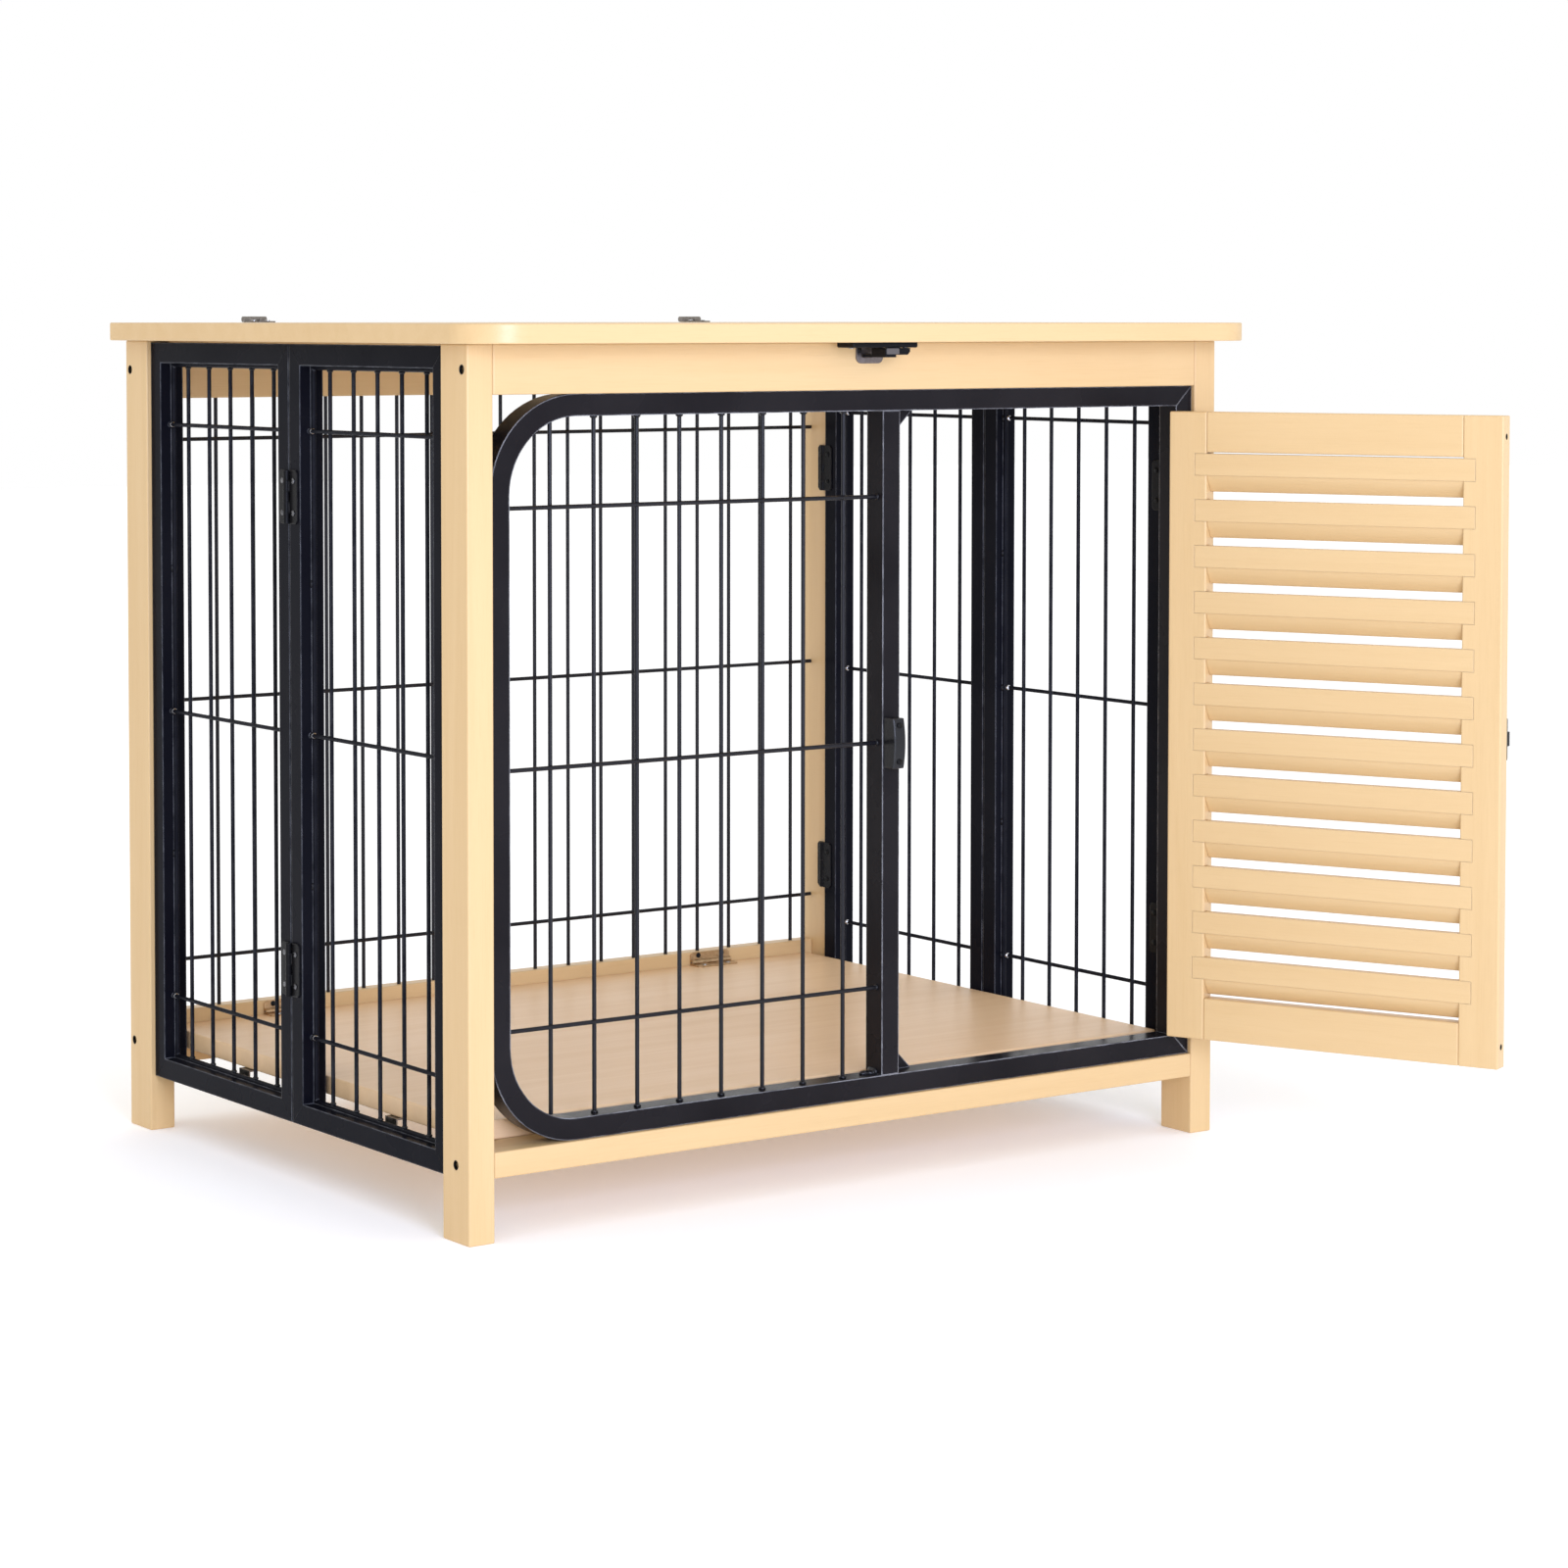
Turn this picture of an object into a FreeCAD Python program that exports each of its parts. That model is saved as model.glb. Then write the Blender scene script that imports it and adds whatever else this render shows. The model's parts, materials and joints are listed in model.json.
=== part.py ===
import FreeCAD, Part
import os
import re

import Sketcher
from FreeCAD import Placement, Rotation, Vector

# A furniture-style dog crate: four timber posts under a hinged board lid, folding welded-wire sides, a
# tubular steel front with a louvred door, and a floor board that hinges up from the back rail.
# Frame: millimetres, +X to the crate's right, +Y to the back, +Z up. The origin is on the floor, in the
# middle of the rectangle that the posts' outer faces make.

# ---------------------------------------------------------------------------------------------------
# Driving dimensions: one sheet row for each size that can be set by itself
# ---------------------------------------------------------------------------------------------------
DIMENSIONS = [
    ("width", 880, "over the posts"),
    ("depth", 660, "over the posts"),
    ("height", 818, "floor to the lid's top"),
    ("timber_ease", 1.5, "rounding of every timber edge"),
    ("fit_gap", 0.15, "clearance of a glued or screwed fit"),
    ("slide_gap", 0.3, "clearance of a piece that slides or rests"),
    ("lid_thickness", 18, ""),
    ("lid_side_overhang", 18, "beyond the posts"),
    ("lid_front_overhang", 50, "beyond the posts"),
    ("lid_corner_radius", 50, "the two front corners"),
    ("post_width", 27, "along X"),
    ("post_depth", 45, "along Y"),
    ("apron_drop", 45, "height of the board under the lid's front"),
    ("board_thickness", 18, "apron and back rails"),
    ("front_rail_base", 58, "underside of the front bottom rail"),
    ("front_rail_height", 23.5, ""),
    ("rear_top_rail_drop", 59, ""),
    ("rear_rail_base", 60, "underside of the back bottom rail"),
    ("rear_rail_height", 54.5, ""),
    ("frame_screw_radius", 2.5, "shank of the screws through the posts"),
    ("frame_screw_grip", 30, "screw length inside a rail"),
    ("frame_head_radius", 4, ""),
    ("frame_head_height", 3, ""),
    ("counterbore_radius", 4.5, ""),
    ("counterbore_depth", 6, ""),
    ("tube_width", 20, "steel tube seen from its face"),
    ("tube_depth", 25, "steel tube front to back"),
    ("tube_wall", 1.5, ""),
    ("frame_setback", 5, "steel faces behind the timber faces"),
    ("bend_radius", 90, "outside of the front frame's bends"),
    ("doorway_width", 349, ""),
    ("gusset_leg", 28, ""),
    ("gusset_tip", 1, ""),
    ("gusset_thickness", 3, ""),
    ("wire_radius", 2, ""),
    ("wire_bite", 0.6, "how far crossing wires sink into each other at the weld"),
    ("front_wire_count", 8, ""),
    ("front_wire_margin", 50, "tube to the first wire"),
    ("front_wire_far_margin", 38, "last wire to the centre post"),
    ("front_wire_inset", 12, "behind the front frame's face"),
    ("front_row_base", 185, "floor to the lowest level wire"),
    ("front_row_drop", 81.5, "bay's top to the highest level wire"),
    ("rear_wire_count", 19, ""),
    ("rear_wire_margin", 26, "post to the first wire"),
    ("rear_wire_inset", 11, "in front of the back face"),
    ("rear_wire_socket", 8, "depth of the holes in the back rails"),
    ("rear_row_base", 166, "floor to the lowest level wire"),
    ("rear_row_drop", 42, "back top rail to the highest level wire"),
    ("wire_row_count", 3, "level wires in every grid"),
    ("panel_base", 56, "underside of the side panels"),
    ("panel_top_gap", 2, "panel to lid"),
    ("fold_gap", 1, "panel to post, and panel to the middle line"),
    ("rim_radius", 2.5, "rod inside a side panel's tube"),
    ("rim_inset", 14, "panel's face to the middle of the rim rods"),
    ("side_wire_count", 5, ""),
    ("side_wire_margin", 33.5, "tube to the first wire"),
    ("side_row_base", 139.5, "floor to the lowest level wire"),
    ("side_row_drop", 62, "panel's inner top to the highest level wire"),
    ("hinge_length", 51, "side and door hinges"),
    ("leaf_reach", 17, "pin to the leaf's edge"),
    ("leaf_thickness", 1.5, ""),
    ("leaf_start", 3.8, "pin to the flat of the leaf"),
    ("leaf_chamfer", 3, ""),
    ("knuckle_radius", 3, ""),
    ("knuckle_gap", 0.2, ""),
    ("pin_radius", 1.5, ""),
    ("pin_gap", 0.05, "running fit of a pin"),
    ("hinge_stand", 3.2, "surface to the pin's axis"),
    ("hinge_low", 203, "height of the lower hinges' middle"),
    ("hinge_top_drop", 146.5, "posts' top to the upper hinges' middle"),
    ("corner_pin_shift", 3.5, "corner pins, from the post's edge onto the post"),
    ("corner_leaf_reach", 11, "on the post, short of the front steel frame"),
    ("screw_radius", 1.5, "small screws"),
    ("screw_head_radius", 2.8, ""),
    ("screw_head_height", 1.2, ""),
    ("lid_hinge_length", 27, ""),
    ("lid_hinge_left", 291, "left of the middle line"),
    ("lid_hinge_right", 257.5, "right of the middle line"),
    ("lid_leaf_reach", 24, "on the lid"),
    ("lid_leaf_drop", 48, "on the back rail"),
    ("floor_top", 100, ""),
    ("floor_thickness", 18, ""),
    ("floor_side_gap", 7.5, "floor to the posts' inner faces"),
    ("floor_end_gap", 0.5, "floor to the rails"),
    ("floor_hinge_length", 53, ""),
    ("floor_hinge_spread", 269.5, "middle line to a floor hinge"),
    ("floor_leaf_rise", 11, "leaf on the back rail"),
    ("ledge_width", 18, ""),
    ("ledge_end_gap", 30, "from the posts"),
    ("clip_width", 20, "floor rest clips"),
    ("clip_reach", 14, ""),
    ("door_open", 113.75, "degrees open at rest"),
    ("door_thickness", 18, ""),
    ("door_side_gap", 1.5, ""),
    ("door_base_gap", 3, ""),
    ("door_top_gap", 5, ""),
    ("door_stop_gap", 0.6, "closed door to the gussets behind it"),
    ("stile_width", 40, ""),
    ("door_top_rail", 40, ""),
    ("door_bottom_rail", 41.5, ""),
    ("slat_count", 12, ""),
    ("slat_gap", 7.6, "between two slats"),
    ("slat_top_gap", 1.4, "top rail to the first slat"),
    ("slat_bottom_gap", 3, "last slat to the bottom rail"),
    ("slat_tongue", 21.5, "height of the flat that is let into the stiles"),
    ("slat_tongue_depth", 9, "front to back"),
    ("slat_let_in", 12.5, "into each stile"),
    ("slat_nose_near", 11, "inner face to the nose's near side"),
    ("slat_nose_far", 17, "inner face to the nose's far side"),
    ("slat_belly_radius", 30, ""),
    ("slat_nose_radius", 2.6, ""),
    ("door_screw_radius", 1.8, ""),
    ("door_bore_radius", 3, ""),
    ("door_bore_depth", 8, ""),
    ("door_screw_grip", 22, "inside a rail"),
    ("latch_height", 420, "middle of the door latch and keeper"),
    ("keeper_width", 13, ""),
    ("keeper_depth", 18, ""),
    ("keeper_height", 48, ""),
    ("keeper_offset", 1, "from the centre post's left side"),
    ("keeper_wall", 4, "behind the bolt's pocket"),
    ("latch_plate_width", 26, ""),
    ("latch_plate_height", 43, ""),
    ("latch_plate_thickness", 4, ""),
    ("latch_edge_gap", 1, "door's free edge to the latch"),
    ("door_bolt_height", 10, ""),
    ("door_bolt_thickness", 3.4, ""),
    ("door_bolt_travel", 12, ""),
    ("bolt_case_wall", 1.6, ""),
    ("lid_latch_left", 44, "base plate, left of the middle line"),
    ("lid_latch_right", 32, "base plate, right of the middle line"),
    ("lid_latch_width", 26, ""),
    ("lid_latch_thickness", 5, ""),
    ("lid_latch_setback", 12, "from the lid's front edge"),
    ("lid_bolt_length", 22, ""),
    ("lid_bolt_left", 6, "bolt block, left of the middle line"),
    ("lid_bolt_right", 22.6, ""),
    ("lid_bolt_travel", 11, ""),
    ("tongue_width", 12, "of the lid bolt"),
    ("tongue_thickness", 2.3, ""),
    ("tongue_level", 14, "lid's underside to the tongue's underside"),
    ("strike_left", 12.7, ""),
    ("strike_right", 18.7, ""),
    ("strike_drop", 20, ""),
    ("strike_corner", 6, ""),
    ("mortise_depth", 12, ""),
]

doc = FreeCAD.newDocument("DogCrate")
sheet = doc.addObject("Spreadsheet::Sheet", "Sizes")
sheet.Label = "Sizes"
for row, (alias, value, meaning) in enumerate(DIMENSIONS, start=1):
    sheet.set(f"A{row}", alias.replace("_", " "))
    sheet.set(f"B{row}", str(value))
    sheet.set(f"C{row}", meaning)
    sheet.setAlias(f"B{row}", alias)
doc.recompute()
VALUES = {alias: value for alias, value, meaning in DIMENSIONS}

# Places that many pieces share, as formulas of the sheet's names.
LEFT = "(-width / 2)"
RIGHT = "(width / 2)"
FRONT = "(-depth / 2)"
REAR = "(depth / 2)"
POST_TOP = "(height - lid_thickness)"
INNER_LEFT = "(-width / 2 + post_width)"
INNER_RIGHT = "(width / 2 - post_width)"
RAIL_LENGTH = "(width - 2 * post_width)"
FRONT_RAIL_TOP = "(front_rail_base + front_rail_height)"
APRON_BASE = f"({POST_TOP} - apron_drop)"
BACK_BOARD = "(depth / 2 - board_thickness)"
STEEL_FRONT = "(-depth / 2 + frame_setback)"
STEEL_BACK = "(-depth / 2 + frame_setback + tube_depth)"
STEEL_HEIGHT = f"({APRON_BASE} - {FRONT_RAIL_TOP})"
BAY_BASE = f"({FRONT_RAIL_TOP} + tube_width)"
BAY_TOP = f"({APRON_BASE} - tube_width)"
BAY_LEFT = f"({INNER_LEFT} + tube_width)"
DOORWAY_RIGHT = f"({INNER_RIGHT} - tube_width)"
DOORWAY_LEFT = f"({DOORWAY_RIGHT} - doorway_width)"
CENTRE_POST_LEFT = f"({DOORWAY_LEFT} - tube_width)"
HINGE_HIGH = f"({POST_TOP} - hinge_top_drop)"

ALONG_X = Rotation(Vector(0, 1, 0), 90)
ALONG_Y = Rotation(Vector(1, 0, 0), -90)
ALONG_Z = Rotation()
AGAINST_X = Rotation(Vector(0, 1, 0), -90)
AGAINST_Y = Rotation(Vector(1, 0, 0), 90)

subparts = []


# ---------------------------------------------------------------------------------------------------
# Small builders
# ---------------------------------------------------------------------------------------------------
def bind(item, prop, formula):
    """Tie one property to a formula written in the sheet's names."""

    def in_sheet(word):
        return "Sizes." + word[0] if word[0] in VALUES else word[0]

    item.setExpression(prop, re.sub("[a-z_]+", in_sheet, str(formula)))


def place(item, at, turn=None):
    """Turn an object, then tie its position to three formulas."""
    if turn is not None:
        item.Placement = Placement(Vector(), turn)
    for letter, formula in zip("xyz", at):
        bind(item, "Placement.Base." + letter, formula)


def keep(item, label):
    """Name an object as one of the crate's sub-parts."""
    item.Label = label
    subparts.append(item)
    return item


def new_body(name):
    return doc.addObject("PartDesign::Body", name)


def block(body, size, corner, cut=False):
    """A rectangular feature of a body, from its low corner."""
    kind = "SubtractiveBox" if cut else "AdditiveBox"
    box = body.newObject("PartDesign::" + kind, body.Name + "_" + kind)
    for prop, formula in zip(("Length", "Width", "Height"), size):
        bind(box, prop, formula)
    place(box, corner)
    return box


def rod(body, radius, length, start, turn=ALONG_Z, cut=False):
    """A round feature of a body, from the middle of its first end."""
    kind = "SubtractiveCylinder" if cut else "AdditiveCylinder"
    cylinder = body.newObject("PartDesign::" + kind, body.Name + "_" + kind)
    bind(cylinder, "Radius", radius)
    bind(cylinder, "Height", length)
    place(cylinder, start, turn)
    return cylinder


def wedge(body, length, width, thickness, inset, corner, turn, cut=False):
    """A bar with both ends mitred at 45 degrees; inset draws its long and flat sides inwards."""
    kind = "SubtractiveWedge" if cut else "AdditiveWedge"
    bar = body.newObject("PartDesign::" + kind, body.Name + "_" + kind)
    sides = {
        "Xmin": f"{inset}", "Xmax": f"{length} - {inset}",
        "Ymin": f"{inset}", "Ymax": f"{width} - {inset}",
        "Zmin": f"{inset}", "Zmax": f"{thickness} - {inset}",
        "X2min": f"{width} - {inset}", "X2max": f"{length} - {width} + {inset}",
        "Z2min": f"{inset}", "Z2max": f"{thickness} - {inset}",
    }
    for prop, formula in sides.items():
        bind(bar, prop, formula)
    place(bar, corner, turn)
    return bar


def ease(body, radius, chosen=None, kind="Fillet"):
    """Round or chamfer the edges that a test picks, or every edge."""
    doc.recompute()
    base = body.Tip
    names = [""]
    if chosen:
        names = [f"Edge{i}" for i, edge in enumerate(base.Shape.Edges, start=1) if chosen(edge)]
    feature = body.newObject("PartDesign::" + kind, body.Name + "_" + kind)
    feature.Base = (base, names)
    feature.UseAllEdges = chosen is None
    bind(feature, "Radius" if kind == "Fillet" else "Size", radius)
    return feature


def runs_along(edge, letter):
    """Whether a straight edge runs along one axis."""
    if not isinstance(edge.Curve, Part.Line):
        return False
    return abs(getattr(edge.Curve.Direction, letter)) > 0.999


def timber(label, size, corner):
    """A planed bar with its edges eased."""
    body = new_body(label)
    block(body, size, corner)
    ease(body, "timber_ease")
    return keep(body, label)


def outline(body, plane, corners):
    """A closed sketch of straight lines, each corner held by its two distances from the origin."""
    sketch = body.newObject("Sketcher::SketchObject", body.Name + "_Outline")
    support = [item for item in body.Origin.OriginFeatures if item.Role == plane][0]
    sketch.AttachmentSupport = (support, [""])
    sketch.MapMode = "FlatFace"
    count = len(corners)
    rough = [Rotation(Vector(0, 0, 1), 360 * i / count).multVec(Vector(9, 0, 0)) for i in range(count)]
    for index in range(count):
        start = rough[index] + Vector(20, 20, 0)
        end = rough[(index + 1) % count] + Vector(20, 20, 0)
        sketch.addGeometry(Part.LineSegment(start, end), False)
    for index in range(count):
        sketch.addConstraint(Sketcher.Constraint("Coincident", index, 2, (index + 1) % count, 1))
    for index, (across, up) in enumerate(corners):
        for kind, formula, axis in (("DistanceX", across, -2), ("DistanceY", up, -1)):
            if formula == "0":
                sketch.addConstraint(Sketcher.Constraint("PointOnObject", index, 1, axis))
            else:
                held = sketch.addConstraint(Sketcher.Constraint(kind, -1, 1, index, 1, 20.0))
                bind(sketch, f"Constraints[{held}]", formula)
    return sketch


def pad(body, sketch, length):
    feature = body.newObject("PartDesign::Pad", body.Name + "_Pad")
    feature.Profile = sketch
    bind(feature, "Length", length)
    return feature


def row(body, feature, length, count):
    """Repeat one feature of a body along X."""
    pattern = body.newObject("PartDesign::LinearPattern", body.Name + "_Row")
    axis = [item for item in body.Origin.OriginFeatures if item.Role == "X_Axis"][0]
    pattern.Originals = [feature]
    pattern.Direction = (axis, [""])
    bind(pattern, "Length", length)
    bind(pattern, "Occurrences", count)
    body.Tip = pattern


def solid_box(name, size, corner):
    box = doc.addObject("Part::Box", name)
    for prop, formula in zip(("Length", "Width", "Height"), size):
        bind(box, prop, formula)
    place(box, corner)
    return box


def solid_rod(name, radius, length, start, turn=ALONG_Z):
    cylinder = doc.addObject("Part::Cylinder", name)
    bind(cylinder, "Radius", radius)
    bind(cylinder, "Height", length)
    place(cylinder, start, turn)
    return cylinder


def less(name, base, tool):
    cut = doc.addObject("Part::Cut", name)
    cut.Base = base
    cut.Tool = tool
    return cut


def welded(name, pieces):
    fuse = doc.addObject("Part::MultiFuse", name)
    fuse.Shapes = pieces
    return fuse


def copies(label, places):
    """One sub-part of separate solids: copies of masters, each with a turn and a position."""
    links = []
    for index, (master, turn, at) in enumerate(places, start=1):
        link = doc.addObject("App::Link", f"{label}_{index:02d}")
        link.LinkedObject = master
        place(link, at, turn)
        links.append(link)
    group = doc.addObject("Part::Compound", label)
    group.Links = links
    return keep(group, label)


# ---------------------------------------------------------------------------------------------------
# Timber frame: posts, apron and rails, screwed through the posts
# ---------------------------------------------------------------------------------------------------
# Where the screws cross the joints: height and distance from front to back.
FRONT_RAIL_SCREW = (f"({FRONT} + post_depth / 2)", "(front_rail_base + front_rail_height / 2)")
APRON_SCREW = (f"({FRONT} + board_thickness / 2)", f"({POST_TOP} - apron_drop / 2)")
REAR_TOP_SCREW = (f"({REAR} - board_thickness / 2)", f"({POST_TOP} - rear_top_rail_drop / 2)")
REAR_RAIL_SCREW = (f"({REAR} - board_thickness / 2)", "(rear_rail_base + rear_rail_height / 2)")


def post(label, on_left, on_front):
    """A square-cut post with two counterbored screw holes in its outer side."""
    outer = LEFT if on_left else f"({RIGHT} - post_width)"
    face = FRONT if on_front else f"({REAR} - post_depth)"
    body = new_body(label)
    block(body, ("post_width", "post_depth", POST_TOP), (outer, face, "0"))
    ease(body, "timber_ease")
    for along, up in (FRONT_RAIL_SCREW, APRON_SCREW) if on_front else (REAR_TOP_SCREW, REAR_RAIL_SCREW):
        mouth = LEFT if on_left else f"({RIGHT} - counterbore_depth)"
        rod(body, "counterbore_radius", "counterbore_depth", (mouth, along, up), ALONG_X, cut=True)
        rod(body, "frame_screw_radius + fit_gap", "post_width", (outer, along, up), ALONG_X, cut=True)
    keep(body, label)


def rail(label, size, corner, screw):
    """A rail between two posts, bored at both ends for the posts' screws."""
    body = timber(label, size, corner)
    for end in (INNER_LEFT, f"({INNER_RIGHT} - frame_screw_grip - slide_gap)"):
        rod(body, "frame_screw_radius + fit_gap", "frame_screw_grip + slide_gap",
            (end, *screw), ALONG_X, cut=True)
    return body


post("Post_Front_Left", True, True)
post("Post_Front_Right", False, True)
post("Post_Rear_Left", True, False)
post("Post_Rear_Right", False, False)

apron = rail("Front_Apron", (RAIL_LENGTH, "board_thickness", "apron_drop"),
             (INNER_LEFT, FRONT, APRON_BASE), APRON_SCREW)
TONGUE_BASE = f"({POST_TOP} - tongue_level)"
block(apron, ("tongue_width + 2 * slide_gap", "mortise_depth", "tongue_thickness + 2 * slide_gap"),
      ("-tongue_width / 2 - slide_gap", FRONT, f"{TONGUE_BASE} - slide_gap"), cut=True)

rail("Front_Bottom_Rail", (RAIL_LENGTH, "post_depth", "front_rail_height"),
     (INNER_LEFT, FRONT, "front_rail_base"), FRONT_RAIL_SCREW)

REAR_WIRE_Y = f"({REAR} - rear_wire_inset)"
REAR_WIRE_FIRST = f"({INNER_LEFT} + rear_wire_margin)"
REAR_WIRE_SPREAD = f"({RAIL_LENGTH} - 2 * rear_wire_margin)"
REAR_GRID_BASE = "(rear_rail_base + rear_rail_height)"
REAR_GRID_TOP = f"({POST_TOP} - rear_top_rail_drop)"


def wire_sockets(body, base):
    """The row of holes that takes the back grid's upright wires."""
    first = rod(body, "wire_radius + fit_gap", "rear_wire_socket",
                (REAR_WIRE_FIRST, REAR_WIRE_Y, base), cut=True)
    row(body, first, REAR_WIRE_SPREAD, "rear_wire_count")


rear_top = rail("Rear_Top_Rail", (RAIL_LENGTH, "board_thickness", "rear_top_rail_drop"),
                (INNER_LEFT, BACK_BOARD, REAR_GRID_TOP), REAR_TOP_SCREW)
wire_sockets(rear_top, REAR_GRID_TOP)
rear_rail = rail("Rear_Bottom_Rail", (RAIL_LENGTH, "board_thickness", "rear_rail_height"),
                 (INNER_LEFT, BACK_BOARD, "rear_rail_base"), REAR_RAIL_SCREW)
wire_sockets(rear_rail, f"({REAR_GRID_BASE} - rear_wire_socket)")

frame_screw = new_body("Frame_Screw_Master")
rod(frame_screw, "frame_screw_radius", "post_width - counterbore_depth + frame_screw_grip", ("0", "0", "0"))
rod(frame_screw, "frame_head_radius", "frame_head_height", ("0", "0", "-frame_head_height"))
screw_places = []
for screw in (FRONT_RAIL_SCREW, APRON_SCREW, REAR_TOP_SCREW, REAR_RAIL_SCREW):
    screw_places.append((frame_screw, ALONG_X, (f"{LEFT} + counterbore_depth", *screw)))
    screw_places.append((frame_screw, AGAINST_X, (f"{RIGHT} - counterbore_depth", *screw)))
copies("Frame_Screws", screw_places)


# ---------------------------------------------------------------------------------------------------
# Front steel frame: one bent tube, a mitred right-hand tube, a centre post and two gussets
# ---------------------------------------------------------------------------------------------------
RIGHT_TUBE_TURN = Rotation(Vector(0, 0, 1), Vector(-1, 0, 0), Vector(0, -1, 0))
RIGHT_TUBE_CORNER = (INNER_RIGHT, STEEL_BACK, FRONT_RAIL_TOP)


def bent_shape(name, inset):
    """The three-sided outline of the bent tube; inset draws its surface inwards for the hollow."""
    body = new_body(name)
    size = (f"{RAIL_LENGTH} - {inset}", f"tube_depth - 2 * {inset}", f"{STEEL_HEIGHT} - 2 * {inset}")
    block(body, size, (f"{INNER_LEFT} + {inset}", f"{STEEL_FRONT} + {inset}", f"{FRONT_RAIL_TOP} + {inset}"))
    opening = f"(tube_width - 2 * {inset})"
    block(body, (RAIL_LENGTH, "tube_depth", f"{STEEL_HEIGHT} - 2 * {inset} - 2 * {opening}"),
          (f"{BAY_LEFT} - {inset}", STEEL_FRONT, f"{BAY_BASE} - {inset}"), cut=True)
    for radius, inside in ((f"bend_radius - tube_width + {inset}", True), (f"bend_radius - {inset}", False)):
        doc.recompute()
        left_face = body.Shape.BoundBox.XMin
        ease(body, radius, lambda edge: runs_along(edge, "y") and edge.CenterOfMass.x < 0
             and (edge.CenterOfMass.x > left_face + 1) == inside)
    wedge(body, STEEL_HEIGHT, "tube_width", "tube_depth", "0", RIGHT_TUBE_CORNER, RIGHT_TUBE_TURN, cut=True)
    return body


bent_tube = less("Front_Frame_Bent_Tube", bent_shape("Bent_Tube_Outside", "0"),
                 bent_shape("Bent_Tube_Hollow", "tube_wall"))
keep(bent_tube, "Front_Frame_Bent_Tube")

right_tube = new_body("Front_Frame_Right_Tube")
for inset, hollow in (("0", False), ("tube_wall", True)):
    wedge(right_tube, STEEL_HEIGHT, "tube_width", "tube_depth", inset,
          RIGHT_TUBE_CORNER, RIGHT_TUBE_TURN, cut=hollow)
keep(right_tube, "Front_Frame_Right_Tube")

centre_post = new_body("Front_Frame_Centre_Post")
CENTRE_POST_HEIGHT = f"({BAY_TOP} - {BAY_BASE})"
for inset, hollow in (("0", False), ("tube_wall", True)):
    block(centre_post, (f"tube_width - 2 * {inset}", f"tube_depth - 2 * {inset}", CENTRE_POST_HEIGHT),
          (f"{CENTRE_POST_LEFT} + {inset}", f"{STEEL_FRONT} + {inset}", BAY_BASE), cut=hollow)
keep(centre_post, "Front_Frame_Centre_Post")

# Triangular plates in the doorway's latch-side corners; the closed door stops against them.
gusset = new_body("Gusset_Master")
triangle = outline(gusset, "XY_Plane", [("0", "0"), ("gusset_leg", "0"), ("gusset_leg", "gusset_tip"),
                                        ("gusset_tip", "gusset_leg"), ("0", "gusset_leg")])
pad(gusset, triangle, "gusset_thickness")
GUSSET_FRONT = f"({STEEL_FRONT} + door_thickness + door_stop_gap)"
copies("Front_Frame_Gussets", [
    (gusset, Rotation(Vector(1, 0, 0), Vector(0, 0, 1), Vector(0, -1, 0)),
     (DOORWAY_LEFT, f"{GUSSET_FRONT} + gusset_thickness", BAY_BASE)),
    (gusset, Rotation(Vector(1, 0, 0), Vector(0, 0, -1), Vector(0, 1, 0)),
     (DOORWAY_LEFT, GUSSET_FRONT, BAY_TOP)),
])


# ---------------------------------------------------------------------------------------------------
# Welded wire grids
# ---------------------------------------------------------------------------------------------------
def wire_rows(name, plane, start, length, base, spread, turn=ALONG_X):
    """The level wires of a grid; plane gives the coordinate that they all share."""
    rows = []
    for index in range(VALUES["wire_row_count"]):
        level = f"{base} + {index} * {spread} / (wire_row_count - 1)"
        at = (plane, start, level) if turn == ALONG_Y else (start, plane, level)
        rows.append(solid_rod(f"{name}_Row_{index + 1}", "wire_radius", length, at, turn))
    return rows


# The front grid stands in the bay left of the centre post. Its first wire stops short under the tube's
# bends, where the bay is lower by the rise of the inner arc over the wire's outer side.
FRONT_WIRE_Y = f"({STEEL_FRONT} + front_wire_inset)"
INNER_BEND = "(bend_radius - tube_width)"
FRONT_WIRE_SPREAD = f"({CENTRE_POST_LEFT} - {BAY_LEFT} - front_wire_margin - front_wire_far_margin)"
FRONT_ROW_SPREAD = f"({BAY_TOP} - front_row_drop - front_row_base)"
front_grid = []
for index in range(VALUES["front_wire_count"]):
    out = f"(front_wire_margin + {index} * {FRONT_WIRE_SPREAD} / (front_wire_count - 1))"
    beyond = f"max(0; {INNER_BEND} - {out} + wire_radius)"
    short = f"({INNER_BEND} - sqrt({INNER_BEND} * {INNER_BEND} - {beyond} * {beyond}))"
    front_grid.append(solid_rod(
        f"Front_Wire_{index + 1}", "wire_radius", f"{CENTRE_POST_HEIGHT} - 2 * {short}",
        (f"{BAY_LEFT} + {out}", FRONT_WIRE_Y, f"{BAY_BASE} + {short}")))
front_grid += wire_rows("Front", f"{FRONT_WIRE_Y} - 2 * wire_radius + wire_bite", BAY_LEFT,
                        f"{CENTRE_POST_LEFT} - {BAY_LEFT}", "front_row_base", FRONT_ROW_SPREAD)
keep(welded("Front_Grid", front_grid), "Front_Grid")

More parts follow.
